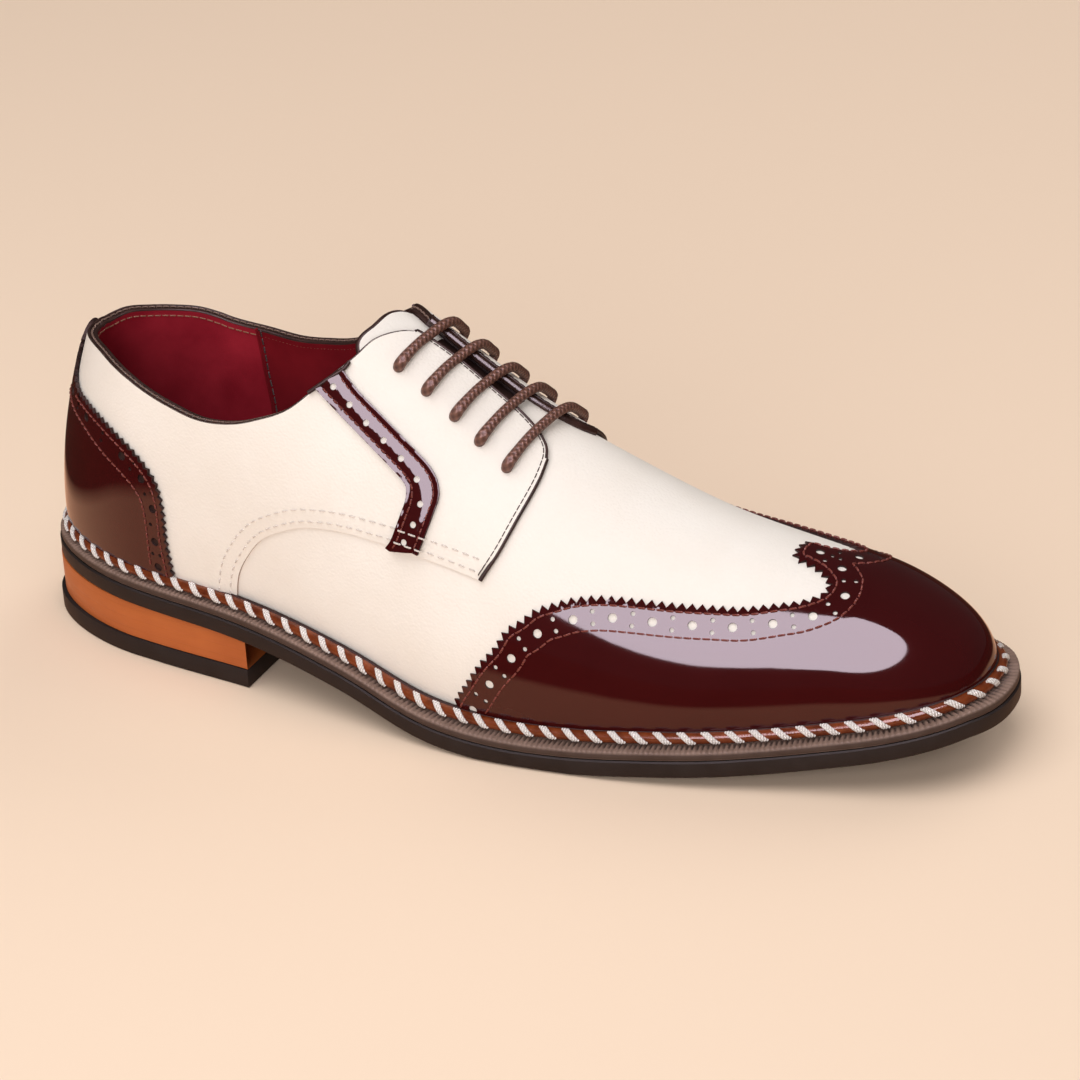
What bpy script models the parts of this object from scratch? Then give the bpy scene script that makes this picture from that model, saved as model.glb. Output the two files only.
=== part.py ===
"""Two-tone wing-tip derby brogue, right shoe.

Every leather piece is cut flat on one chart of the last and then lasted, so the
pieces lie on each other with an even clearance. The chart is the plan of the last:
its rim is the feather line and its spine is the ridge. X runs to the toe, the
lateral side is -Y, Z is up and the floor is at zero.
"""
import math

import bmesh
import bpy
import numpy as np
from mathutils import Matrix

# last, metres, stations from the back of the heel
LAST_LENGTH = 0.290
HEEL_POLE = 0.040
TOE_POLE = 0.256
HEEL_ROUND = 2.15
TOE_ROUND = 2.35
TOE_SLOPE = 0.33

# station, lateral half width, medial half width of the feather line
WIDTHS = (
    (0.000, 0.0215, 0.0215),
    (0.045, 0.0302, 0.0295),
    (0.080, 0.0346, 0.0285),
    (0.115, 0.0408, 0.0290),
    (0.150, 0.0460, 0.0345),
    (0.185, 0.0444, 0.0388),
    (0.212, 0.0406, 0.0380),
    (0.238, 0.0342, 0.0345),
    (0.262, 0.0282, 0.0290),
    (0.290, 0.0239, 0.0225),
)
# station, height of the feather line: heel seat, arch, tread and toe spring
FEATHER = (
    (0.000, 0.0260),
    (0.040, 0.0252),
    (0.075, 0.0232),
    (0.110, 0.0176),
    (0.139, 0.0098),
    (0.157, 0.00795),
    (0.184, 0.00795),
    (0.205, 0.0097),
    (0.230, 0.0120),
    (0.260, 0.0168),
    (0.290, 0.0229),
)
# station, height of the ridge
RIDGE = (
    (0.040, 0.1460),
    (0.075, 0.1375),
    (0.105, 0.1182),
    (0.130, 0.1024),
    (0.155, 0.0858),
    (0.180, 0.0724),
    (0.205, 0.0621),
    (0.230, 0.0559),
    (0.256, 0.0506),
)
# station, lean of the wall, length of the wall, breadth of the crown
SECTIONS = (
    (0.000, 0.060, 0.40, 0.03),
    (0.040, 0.100, 0.46, 0.62),
    (0.075, 0.150, 0.49, 0.69),
    (0.110, 0.180, 0.50, 0.55),
    (0.145, 0.180, 0.50, 0.48),
    (0.185, 0.140, 0.55, 0.50),
    (0.220, 0.100, 0.54, 0.54),
    (0.256, 0.080, 0.56, 0.66),
    (0.290, 0.060, 0.55, 0.60),
)
# station, reach of the welt beyond the feather line
REACH = (
    (0.000, 0.0041),
    (0.060, 0.0046),
    (0.110, 0.0053),
    (0.160, 0.0063),
    (0.220, 0.0063),
    (0.290, 0.0059),
)

# facets of the last
FAN_RIBS = 6
SIDE_RIBS = 24
ROWS = (0.0, 0.13, 0.22, 0.31, 0.40, 0.50, 0.60, 0.70, 0.80, 0.90, 1.0)

# thicknesses and clearances; the wall's outer face lies a little under the last's finished surface
FIT = 0.00035
SHELL = -0.0014
WALL = 0.0016
QUARTER = 0.00115
OVERLAY = 0.00105
TONGUE = 0.0016
WELT = 0.0026
OUTSOLE = 0.0052
SEAT = 0.0002
BEAD_RADIUS = 0.0016
OVERLAY_RISE = 0.0046
LIFT = 0.0056
HEEL_BREAST = 0.0768
INSOLE_RISE = 0.0012
INSOLE_INSET = 0.0044
WELT_INSET = 0.0040
SOLE_LIP = 0.0004
STACK_INSET = 0.0005
LIFT_INSET = 0.0002
STACK_FLARE = 0.0012
LIFT_FLARE = 0.0022
LACE_RADIUS = 0.00135
HOLE_RADIUS = 0.0016
CUT_DEPTH = 0.020

# pattern lines: station and rise, the rise being 0 at the feather and 1 at the ridge
TOPLINE = (
    (0.000, 0.405, 0.405),
    (0.008, 0.410, 0.407),
    (0.017, 0.411, 0.394),
    (0.025, 0.406, 0.382),
    (0.033, 0.391, 0.370),
    (0.043, 0.369, 0.348),
    (0.054, 0.352, 0.340),
    (0.065, 0.345, 0.337),
    (0.075, 0.362, 0.355),
    (0.084, 0.400, 0.388),
    (0.094, 0.466, 0.455),
    (0.102, 0.560, 0.548),
    (0.110, 0.682, 0.672),
    (0.1144, 0.782, 0.775),
    (0.1195, 0.866, 0.862),
    (0.1225, 0.905, 0.905),
)
SLIT = (
    (0.1225, 0.905),
    (0.135, 0.915),
    (0.147, 0.920),
    (0.152, 0.950),
    (0.153, 1.000),
)
FACING = (
    (0.1235, 0.921),
    (0.134, 0.935),
    (0.144, 0.930),
    (0.1527, 0.921),
    (0.1592, 0.895),
    (0.1635, 0.854),
    (0.1650, 0.808),
)
TAB_FRONT = (
    (0.1650, 0.808),
    (0.1650, 0.724),
    (0.1635, 0.623),
    (0.1599, 0.481),
    (0.1556, 0.377),
)
QUARTER_FOOT = (
    (0.1556, 0.377),
    (0.1469, 0.370),
    (0.1368, 0.352),
    (0.1289, 0.334),
    (0.1209, 0.311),
    (0.1115, 0.284),
    (0.1007, 0.247),
    (0.0927, 0.209),
    (0.0848, 0.165),
    (0.0790, 0.117),
    (0.0740, 0.059),
    (0.0715, -0.020),
    (0.0700, -0.100),
)
STRAP_FRONT = (
    (0.1088, 0.642),
    (0.1196, 0.608),
    (0.1325, 0.582),
    (0.1385, 0.562),
    (0.1408, 0.520),
    (0.1395, 0.438),
    (0.1373, 0.358),
)
STRAP_BACK = ((0.1276, 0.328), (0.1302, 0.386), (0.1320, 0.470), (0.1305, 0.496), (0.1186, 0.521), (0.1021, 0.558))
COUNTER_EDGE = (
    (0.0012, 0.400),
    (0.0016, 0.375),
    (0.0030, 0.350),
    (0.0060, 0.328),
    (0.0114, 0.310),
    (0.0200, 0.300),
    (0.0294, 0.283),
    (0.0407, 0.247),
    (0.0480, 0.208),
    (0.0505, 0.160),
    (0.0505, 0.088),
    (0.0514, 0.000),
    (0.0514, -0.100),
)
WING_EDGE = (
    (0.1440, -0.100, -0.100),
    (0.1476, 0.021, 0.030),
    (0.1527, 0.100, 0.130),
    (0.1570, 0.163, 0.220),
    (0.1614, 0.218, 0.290),
    (0.1643, 0.272, 0.345),
    (0.1686, 0.312, 0.395),
    (0.1722, 0.354, 0.432),
    (0.1773, 0.389, 0.463),
    (0.1823, 0.423, 0.484),
    (0.1900, 0.460, 0.503),
    (0.1985, 0.487, 0.527),
    (0.2090, 0.515, 0.570),
    (0.2190, 0.543, 0.615),
    (0.2278, 0.570, 0.650),
    (0.2365, 0.628, 0.680),
    (0.2416, 0.669, 0.705),
    (0.2459, 0.728, 0.746),
    (0.2473, 0.775, 0.790),
    (0.2473, 0.828, 0.828),
)
WING_PEAK = ((0.2473, 0.828), (0.2437, 0.880), (0.2394, 0.905), (0.2358, 0.912), (0.2348, 0.935), (0.2343, 1.0))
TONGUE_EDGE = (
    (0.1165, 1.000),
    (0.1160, 0.940),
    (0.1135, 0.840),
    (0.1115, 0.760),
    (0.1150, 0.690),
    (0.1260, 0.660),
    (0.1400, 0.650),
    (0.1560, 0.690),
    (0.1690, 0.800),
    (0.1740, 1.000),
)
LACE_HOLES = ((0.1224, 0.753), (0.1310, 0.745), (0.1397, 0.736), (0.1476, 0.720), (0.1563, 0.699))
LACE_LEAD = 0.005  # the medial holes lie this much nearer to the toe
FACING_LEAD = 0.003  # and the medial tab ends this much nearer to it

LATERAL = -1.0
MEDIAL = 1.0

# base colour, roughness, clear coat
CREAM = ((0.93, 0.86, 0.76), 0.55, 0.0)
PATENT = ((0.045, 0.004, 0.006), 0.18, 1.0)
LACE = ((0.11, 0.045, 0.03), 0.60, 0.0)
TAUPE = ((0.17, 0.105, 0.08), 0.60, 0.0)
BEAD = ((0.30, 0.06, 0.012), 0.30, 0.3)
BLACK = ((0.03, 0.022, 0.018), 0.55, 0.0)
TAN = ((0.46, 0.12, 0.03), 0.45, 0.2)
BUFF = ((0.62, 0.46, 0.33), 0.70, 0.0)


def fair(rows, x):
    """Smooth curve through a table, one value for each column after the first."""
    data = np.array(rows, dtype=float)
    at = data[:, 0]
    value = data[:, 1:]
    gap = np.diff(at)[:, None]
    rate = np.diff(value, axis=0) / gap
    slope = np.empty_like(value)
    slope[0] = rate[0]
    slope[-1] = rate[-1]
    slope[1:-1] = (rate[:-1] * gap[1:] + rate[1:] * gap[:-1]) / (gap[1:] + gap[:-1])
    x = np.clip(np.asarray(x, dtype=float), at[0], at[-1])
    low = np.clip(np.searchsorted(at, x) - 1, 0, len(at) - 2)
    span = (at[low + 1] - at[low])[..., None]
    t = (x[..., None] - at[low][..., None]) / span
    rise = t * t * (3 - 2 * t)
    ends = value[low] * (1 - rise) + value[low + 1] * rise
    return ends + span * (slope[low] * t * (1 - t) ** 2 + slope[low + 1] * t * t * (t - 1))


def half_width(station, side):
    """Half width of the feather line, closed round the heel and the toe."""
    both = fair(WIDTHS, station)
    width = np.where(side < 0, both[..., 0], both[..., 1])
    heel = np.clip((HEEL_POLE - station) / HEEL_POLE, 0, 1)
    toe = np.clip((station - TOE_POLE) / (LAST_LENGTH - TOE_POLE), 0, 1)
    round_heel = (1 - heel ** HEEL_ROUND) ** (1 / HEEL_ROUND)
    round_toe = (1 - toe ** TOE_ROUND) ** (1 / TOE_ROUND)
    return width * round_heel * round_toe


def feather(station):
    """Height of the feather line."""
    return fair(FEATHER, station)[..., 0]


def chart(station, side, rise):
    """Chart point of a station on one side at a rise."""
    root = np.clip(station, HEEL_POLE, TOE_POLE)
    x = root + (station - root) * (1 - rise)
    y = side * half_width(station, side) * (1 - rise)
    return x, y


def fan_angle(station, side, pole):
    """Angle at a pole of the rib that starts at a station."""
    return np.arctan2(half_width(station, side), np.abs(station - pole))


def place(x, y):
    """Station, side and rise of a chart point."""
    side = np.where(y < 0, LATERAL, MEDIAL)
    root = np.clip(x, HEEL_POLE, TOE_POLE)
    station = root.copy()
    turn = np.linspace(0, math.pi / 2, 241)
    heel_run = HEEL_POLE * (1 - np.cos(turn))
    toe_run = TOE_POLE + (LAST_LENGTH - TOE_POLE) * np.cos(turn)
    for run, pole, beyond in ((heel_run, HEEL_POLE, x < HEEL_POLE), (toe_run, TOE_POLE, x > TOE_POLE)):
        angle = np.arctan2(np.abs(y), np.abs(x - pole))
        for hand in (LATERAL, MEDIAL):
            pick = beyond & (side == hand)
            ladder = fan_angle(run, hand, pole)
            station[pick] = np.interp(angle[pick], ladder, run)
    rim = np.hypot(station - root, half_width(station, side))
    rise = 1 - np.hypot(x - root, y) / rim
    return station, side, rise


def skin(x, y):
    """Point of the last above a chart point."""
    station, side, rise = place(x, y)
    root = np.clip(station, HEEL_POLE, TOE_POLE)
    along = station - root
    across = side * half_width(station, side)
    rim = np.hypot(along, across)
    foot = feather(station)
    top = fair(RIDGE, root)[..., 0]
    lean, wall, crown = np.moveaxis(fair(SECTIONS, station), -1, 0)
    drop = np.where(station > TOE_POLE, TOE_SLOPE, 0.0) * along / rim
    height = top - foot
    a = (1 - rise) ** 3
    b = 3 * (1 - rise) ** 2 * rise
    c = 3 * (1 - rise) * rise ** 2
    d = rise ** 3
    out = a * rim + b * (rim + lean * wall * height) + c * crown * rim
    z = a * foot + b * (foot + wall * height) + c * (top - drop * crown * rim) + d * top
    return np.stack([root + along / rim * out, across / rim * out, z], axis=-1)


def lasted(x, y, offset):
    """Point at an offset outside the last above a chart point."""
    step = 0.0004
    run = skin(x + step, y) - skin(x - step, y)
    lift = skin(x, y + step) - skin(x, y - step)
    normal = np.cross(run, lift)
    normal /= np.linalg.norm(normal, axis=-1)[..., None]
    return skin(x, y) + normal * np.asarray(offset)[..., None]


def rise_at(station, side, height):
    """Rise at which the wall is a height above the feather line."""
    low = np.zeros_like(station)
    high = np.full_like(station, 0.5)
    for _ in range(30):
        mid = (low + high) / 2
        over = skin(*chart(station, side, mid))[..., 2] - feather(station) > height
        high = np.where(over, mid, high)
        low = np.where(over, low, mid)
    return low


def ring():
    """Stations and sides of the ribs, once round from the heel along the lateral side."""
    turn = np.linspace(0, math.pi / 2, FAN_RIBS + 1)
    heel = HEEL_POLE * (1 - np.cos(turn))
    side = np.linspace(HEEL_POLE, TOE_POLE, SIDE_RIBS + 1)[1:-1]
    toe = TOE_POLE + (LAST_LENGTH - TOE_POLE) * np.sin(turn)
    half = np.concatenate([heel, side, toe])
    stations = np.concatenate([half, half[-2:0:-1]])
    sides = np.concatenate([np.full(len(half), LATERAL), np.full(len(half) - 2, MEDIAL)])
    return stations, sides


def rim(reach):
    """Plan of the feather line pushed out by a reach, at the ribs."""
    stations, sides = ring()
    x, y = chart(stations, sides, np.zeros_like(stations))
    run = np.roll(x, -1) - np.roll(x, 1)
    climb = np.roll(y, -1) - np.roll(y, 1)
    size = np.hypot(run, climb)
    return x + climb / size * reach, y - run / size * reach


def welt_reach():
    """Reach of the welt at the ribs."""
    return fair(REACH, ring()[0])[..., 0]


def heel_reach(inset, flare):
    """Reach of a heel layer, which flares at the back."""
    return welt_reach() - inset + flare * np.clip(1 - ring()[0] / HEEL_POLE, 0, 1)


def middle():
    """Plan centre of the sole with its heel."""
    x, y = rim(welt_reach() + SOLE_LIP)
    heel_x, _ = rim(heel_reach(LIFT_INSET, LIFT_FLARE))
    return (heel_x.min() + x.max()) / 2, (y.min() + y.max()) / 2


def material(name, finish):
    """Material of one sub-part."""
    colour, rough, coat = finish
    made = bpy.data.materials.new(name)
    made.use_nodes = True
    shader = made.node_tree.nodes["Principled BSDF"]
    shader.inputs["Base Color"].default_value = (*colour, 1.0)
    shader.inputs["Roughness"].default_value = rough
    shader.inputs["Coat Weight"].default_value = coat
    return made


def add_object(name, mesh, group):
    """Object of a mesh in a collection."""
    made = bpy.data.objects.new(name, mesh)
    group.objects.link(made)
    return made


def new_mesh(name, bm):
    """Mesh of a closed bmesh with its faces turned outward."""
    bmesh.ops.recalc_face_normals(bm, faces=bm.faces)
    made = bpy.data.meshes.new(name)
    bm.to_mesh(made)
    bm.free()
    return made


def rib_grid(rows):
    """Ring of ribs by rows as a grid, with the rib and row of each vertex."""
    count = len(ring()[0])
    bm = bmesh.new()
    bmesh.ops.create_grid(bm, x_segments=count, y_segments=rows - 1, size=1.0)
    places = []
    for vert in bm.verts:
        rib = round((vert.co.x + 1) / 2 * count) % count
        row = round((vert.co.y + 1) / 2 * (rows - 1))
        places.append((vert, rib, row))
    return bm, places


def close_grid(bm):
    """Joins the two ends of a ring and the ridge of the two sides."""
    bmesh.ops.remove_doubles(bm, verts=bm.verts, dist=0.00001)
    bmesh.ops.dissolve_degenerate(bm, edges=bm.edges, dist=0.00001)
    bmesh.ops.triangulate(bm, faces=bm.faces)


def thicken(bm, low, high):
    """Turns a sheet into a slab between two heights."""
    for vert in bm.verts:
        vert.co.z = low
    made = bmesh.ops.extrude_face_region(bm, geom=list(bm.faces))
    for item in made["geom"]:
        if isinstance(item, bmesh.types.BMVert):
            item.co.z = high


def flat_sheet(name, low, high, rise, group):
    """Whole chart as a slab, from a height above the feather line up to the ridge."""
    stations, sides = ring()
    foot = rise_at(stations, sides, rise)
    bm, places = rib_grid(len(ROWS))
    for vert, rib, row in places:
        level = ROWS[row] if row else foot[rib]
        x, y = chart(stations[rib], sides[rib], level)
        vert.co = (float(x), float(y), 0.0)
    close_grid(bm)
    thicken(bm, low, high)
    return add_object(name, new_mesh(name, bm), group)


def pattern(name, outline, group):
    """Upright cutter over a closed chart outline."""
    bm = bmesh.new()
    corners = [bm.verts.new((x, y, -CUT_DEPTH)) for x, y in outline]
    face = bm.faces.new(corners)
    made = bmesh.ops.extrude_face_region(bm, geom=[face])
    for item in made["geom"]:
        if isinstance(item, bmesh.types.BMVert):
            item.co.z = CUT_DEPTH
    cutter = add_object(name, new_mesh(name, bm), group)
    cutter.hide_render = True
    cutter.display_type = "WIRE"
    return cutter


def cut(body, cutter, operation):
    """Boolean cut that is applied to the body."""
    tool = body.modifiers.new(cutter.name, "BOOLEAN")
    tool.solver = "EXACT"
    tool.operation = operation
    tool.object = cutter
    shape = body.evaluated_get(bpy.context.evaluated_depsgraph_get())
    result = bpy.data.meshes.new_from_object(shape)
    body.modifiers.remove(tool)
    body.data = result


def last_piece(body):
    """Carries a flat piece over the last and centres it over the sole."""
    centre_x, centre_y = middle()
    bm = bmesh.new()
    bm.from_mesh(body.data)
    bmesh.ops.remove_doubles(bm, verts=bm.verts, dist=0.00004)
    bmesh.ops.dissolve_degenerate(bm, edges=bm.edges, dist=0.00004)
    bmesh.ops.triangulate(bm, faces=bm.faces)
    flat = np.array([vert.co for vert in bm.verts])
    points = lasted(flat[:, 0], flat[:, 1], flat[:, 2])
    for vert, point in zip(bm.verts, points):
        vert.co = (point[0] - centre_x, point[1] - centre_y, point[2])
    name = body.name
    body.data = new_mesh(name, bm)


def finish(body, look):
    """Gives a sub-part its own material."""
    body.data.materials.clear()
    body.data.materials.append(material(body.name, look))


def flow(points, side, steps=2):
    """Smooth chart line through pattern points; a third column is the medial rise."""
    rows = [(float(i), *point) for i, point in enumerate(points)]
    at = np.linspace(0, len(points) - 1, (len(points) - 1) * steps + 1)
    line = fair(rows, at)
    rise = line[:, 1] if side < 0 else line[:, -1]
    x, y = chart(line[:, 0], np.full(len(line), side), rise)
    return list(zip(x.tolist(), y.tolist()))


def sharp(points, side):
    """Chart line with a corner at every pattern point."""
    data = np.array(points)
    x, y = chart(data[:, 0], np.full(len(data), side), data[:, 1])
    return list(zip(x.tolist(), y.tolist()))


def tidy(outline):
    """Outline without repeated points."""
    kept = []
    for point in outline:
        if not kept or math.dist(kept[-1], point) > 0.0002:
            kept.append(point)
    if math.dist(kept[0], kept[-1]) < 0.0002:
        kept.pop()
    return kept


def both_sides(lateral, medial):
    """Closed outline from a lateral line and the medial line run backwards."""
    return tidy(lateral + medial[::-1])


def outside(first, last, side, count=9):
    """Chart line beyond the feather line between two stations."""
    stations = np.linspace(first, last, count)
    return sharp([(station, -0.25) for station in stations], side)


def opening_outline():
    """Collar and slit of the upper."""
    halves = [flow(TOPLINE, side) + flow(SLIT, side) for side in (LATERAL, MEDIAL)]
    return both_sides(*halves)


def led(points, side):
    """Pattern points, moved to the toe on the medial side as the facing runs forward."""
    if side == LATERAL:
        return points
    start, end = FACING[0][0], FACING[-1][0]
    share = [min(max((station - start) / (end - start), 0.0), 1.0) for station, _ in points]
    return tuple((station + FACING_LEAD * part, rise) for (station, rise), part in zip(points, share))


def quarter_outline(side):
    """One quarter: topline, facing, tab front and curved foot, back to the heel seam."""
    line = flow(TOPLINE[:-1], side)
    for run in (FACING, TAB_FRONT, QUARTER_FOOT):
        line += flow(led(run, side), side)
    line = line + outside(0.068, 0.0, side)
    seam = FIT / 2
    return tidy([(x, side * max(side * y, seam)) for x, y in line])


def strap_outline(side):
    """One bent strap on a quarter."""
    return tidy(sharp(STRAP_FRONT, side) + sharp(STRAP_BACK, side))


def counter_outline():
    """Heel cover with the narrow strip up the back seam."""
    halves = [flow(COUNTER_EDGE, side) + outside(0.0516, 0.0, side) for side in (LATERAL, MEDIAL)]
    return both_sides(*halves)


def wing_outline():
    """Toe cap with its two wings and the centre peak."""
    halves = []
    for side in (LATERAL, MEDIAL):
        line = outside(LAST_LENGTH, 0.144, side, 17) + flow(WING_EDGE, side) + flow(WING_PEAK, side)
        halves.append(line)
    return both_sides(*halves)


def tongue_outline():
    """Tongue under the facings."""
    return both_sides(*[flow(TONGUE_EDGE, side) for side in (LATERAL, MEDIAL)])


def punch_outline(station, rise, side, radius):
    """Chart outline that becomes a round hole on the last."""
    x, y = chart(np.array([station]), np.array([side]), np.array([rise]))
    step = 0.0005
    run = np.linalg.norm(skin(x + step, y) - skin(x - step, y)) / (2 * step)
    climb = np.linalg.norm(skin(x, y + step) - skin(x, y - step)) / (2 * step)
    turns = [math.tau * (i + 0.35) / 8 for i in range(8)]
    return [(x[0] + radius / run * math.cos(t), y[0] + radius / climb * math.sin(t)) for t in turns]


def leather(name, outline, low, high, rise, look, parts, patterns):
    """Leather piece cut from the chart and lasted between two offsets."""
    body = flat_sheet(name, low, high, rise, parts)
    cut(body, pattern(name + "_pattern", outline, patterns), "INTERSECT")
    last_piece(body)
    finish(body, look)
    return body


def build_upper(parts, patterns):
    """Hollow wall of vamp and quarters, open at collar, slit and foot."""
    body = flat_sheet("upper", SHELL - WALL, SHELL, SEAT, parts)
    cut(body, pattern("opening_pattern", opening_outline(), patterns), "DIFFERENCE")
    last_piece(body)
    finish(body, CREAM)


def build_quarter(name, side, parts, patterns):
    """Quarter with its lace holes."""
    low = SHELL + FIT
    body = flat_sheet(name, low, low + QUARTER, OVERLAY_RISE, parts)
    cut(body, pattern(name + "_pattern", quarter_outline(side), patterns), "INTERSECT")
    for number, (station, rise) in enumerate(LACE_HOLES, start=1):
        lead = LACE_LEAD if side == MEDIAL else 0.0
        outline = punch_outline(station + lead, rise, side, HOLE_RADIUS)
        cut(body, pattern(f"{name}_hole_{number}", outline, patterns), "DIFFERENCE")
    last_piece(body)
    finish(body, CREAM)


def plate(name, reach, top, bottom, look, parts):
    """Plate under the last between two heights along the foot."""
    centre_x, centre_y = middle()
    stations, sides = ring()
    edge_x, edge_y = rim(reach)
    root = np.clip(stations, HEEL_POLE, TOE_POLE)
    bm, places = rib_grid(2)
    for vert, rib, row in places:
        x = root[rib] if row else edge_x[rib]
        y = 0.0 if row else edge_y[rib]
        vert.co = (x, y, 0.0)
    close_grid(bm)
    thicken(bm, 0.0, 1.0)
    shape_plate(bm, top, bottom)
    body = add_object(name, new_mesh(name, bm), parts)
    body.data.transform(shift(-centre_x, -centre_y))
    finish(body, look)
    return body


def shape_plate(bm, top, bottom):
    """Moves the two faces of a slab to their heights along the foot."""
    for vert in bm.verts:
        height = top if vert.co.z > 0.5 else bottom
        vert.co.z = float(height(np.array([vert.co.x]))[0])


def shift(x, y):
    """Matrix of a plan shift."""
    return Matrix.Translation((x, y, 0.0))


def insole_top(x):
    """Upper face of the insole."""
    return feather(x) + INSOLE_RISE


def insole_bottom(x):
    """Lower face of the insole, just over the outsole."""
    return feather(x) - WELT + SEAT


def outsole_top(x):
    """Upper face of the outsole, just under the welt."""
    return feather(x) - WELT - SEAT


def outsole_bottom(x):
    """Tread: flat on the floor under the ball, raised at waist, heel and toe."""
    return np.maximum(feather(x) - WELT - SEAT - OUTSOLE, 0.0)


def stack_top(x):
    """Upper face of the heel block, just under the outsole."""
    return outsole_bottom(np.minimum(x, HEEL_BREAST + 0.004)) - SEAT


def stack_bottom(x):
    """Lower face of the heel block."""
    return np.full_like(x, LIFT + SEAT)


def lift_top(x):
    """Upper face of the heel lift."""
    return np.full_like(x, LIFT)


def floor(x):
    """Floor."""
    return np.zeros_like(x)


def build_welt(parts):
    """Ring round the foot of the upper."""
    centre_x, centre_y = middle()
    outer = rim(welt_reach())
    inner = rim(np.full(len(ring()[0]), -WELT_INSET))
    bm, places = rib_grid(2)
    for vert, rib, row in places:
        x, y = outer if row == 0 else inner
        vert.co = (x[rib], y[rib], 0.0)
    close_grid(bm)
    thicken(bm, 0.0, 1.0)
    shape_plate(bm, feather, lambda x: feather(x) - WELT)
    body = add_object("welt", new_mesh("welt", bm), parts)
    body.data.transform(shift(-centre_x, -centre_y))
    finish(body, TAUPE)


def tube(name, points, radius, closed, resolution, parts):
    """Round cord through points."""
    curve = bpy.data.curves.new(name, "CURVE")
    curve.dimensions = "3D"
    curve.bevel_depth = radius
    curve.bevel_resolution = resolution
    curve.use_fill_caps = True
    line = curve.splines.new("POLY")
    line.points.add(len(points) - 1)
    for point, place_at in zip(line.points, points):
        point.co = (*place_at, 1.0)
    line.use_cyclic_u = closed
    source = bpy.data.objects.new(name + "_path", curve)
    parts.objects.link(source)
    shape = source.evaluated_get(bpy.context.evaluated_depsgraph_get())
    mesh = bpy.data.meshes.new_from_object(shape)
    bpy.data.objects.remove(source)
    bm = bmesh.new()
    bm.from_mesh(mesh)
    bmesh.ops.remove_doubles(bm, verts=bm.verts, dist=0.00001)
    return add_object(name, new_mesh(name, bm), parts)


def build_rand(parts):
    """Cord bead that lies on the welt round the foot of the upper."""
    centre_x, centre_y = middle()
    stations, _ = ring()
    lean = fair(SECTIONS, stations)[..., 0]
    height = BEAD_RADIUS + SEAT
    room = SHELL + (BEAD_RADIUS + FIT) * np.hypot(1, lean) + lean * height + 0.0004
    x, y = rim(room)
    z = feather(x) + height
    points = np.stack([x - centre_x, y - centre_y, z], axis=-1).tolist()
    body = tube("rand", points, BEAD_RADIUS, True, 1, parts)
    finish(body, BEAD)


def build_heel(name, inset, flare, top, bottom, look, parts, patterns):
    """Layer of the heel, flared at the back and cut square at the breast."""
    body = plate(name, heel_reach(inset, flare), top, bottom, look, parts)
    centre_x, _ = middle()
    bm = bmesh.new()
    bmesh.ops.create_cube(bm, size=0.3)
    cutter = add_object(name + "_breast", new_mesh(name + "_breast", bm), patterns)
    cutter.data.transform(shift(HEEL_BREAST - centre_x + 0.15, 0.0))
    cutter.hide_render = True
    cutter.display_type = "WIRE"
    cut(body, cutter, "DIFFERENCE")
    bm = bmesh.new()
    bm.from_mesh(body.data)
    bmesh.ops.triangulate(bm, faces=bm.faces)
    body.data = new_mesh(name, bm)
    finish(body, look)


def build_laces(parts):
    """Five bars across the facings, from hole to hole."""
    centre_x, centre_y = middle()
    over = SHELL + FIT + QUARTER + FIT + LACE_RADIUS
    for number, (station, rise) in enumerate(LACE_HOLES, start=1):
        rises = 1 - np.abs(np.linspace(rise - 1, 1 - rise, 11))
        sides = np.where(np.arange(11) < 6, LATERAL, MEDIAL)
        x, y = chart(station + np.linspace(0, LACE_LEAD, 11), sides, rises)
        points = lasted(x, y, np.full(len(x), over)) - np.array([centre_x, centre_y, 0.0])
        body = tube(f"lace_bar_{number}", points.tolist(), LACE_RADIUS, False, 1, parts)
        finish(body, LACE)


def main():
    """Builds the shoe."""
    for item in list(bpy.data.objects):
        bpy.data.objects.remove(item)
    parts = bpy.data.collections.new("brogue")
    patterns = bpy.data.collections.new("patterns")
    bpy.context.scene.collection.children.link(parts)
    bpy.context.scene.collection.children.link(patterns)

    build_upper(parts, patterns)
    build_quarter("quarter_lateral", LATERAL, parts, patterns)
    build_quarter("quarter_medial", MEDIAL, parts, patterns)
    low = SHELL + FIT
    leather("wing_cap", wing_outline(), low, low + OVERLAY, OVERLAY_RISE, PATENT, parts, patterns)
    low = SHELL + FIT + QUARTER + FIT
    leather("counter", counter_outline(), low, low + OVERLAY, OVERLAY_RISE, PATENT, parts, patterns)
    for name, side in (("strap_lateral", LATERAL), ("strap_medial", MEDIAL)):
        leather(name, strap_outline(side), low, low + OVERLAY, OVERLAY_RISE, PATENT, parts, patterns)
    under = SHELL - WALL - FIT
    leather("tongue", tongue_outline(), under - TONGUE, under, OVERLAY_RISE, CREAM, parts, patterns)

    plate("insole", np.full(len(ring()[0]), -INSOLE_INSET), insole_top, insole_bottom, BUFF, parts)
    build_rand(parts)
    build_welt(parts)
    plate("outsole", welt_reach() + SOLE_LIP, outsole_top, outsole_bottom, BLACK, parts)
    build_heel("heel_stack", STACK_INSET, STACK_FLARE, stack_top, stack_bottom, TAN, parts, patterns)
    build_heel("heel_lift", LIFT_INSET, LIFT_FLARE, lift_top, floor, BLACK, parts, patterns)
    build_laces(parts)


main()
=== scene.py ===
"""Looks of a two-tone wing-tip derby brogue, right shoe.

Each leather is cut flat on the chart of the last, with its pinked edge and its punched
holes, and then carried over the last. X runs to the toe, the lateral side is -Y, Z is up.
"""
import logging
import math
from dataclasses import dataclass, field
from enum import Enum
from typing import Callable, Optional, Sequence

import bpy
import numpy as np
from mathutils import Matrix


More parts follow.
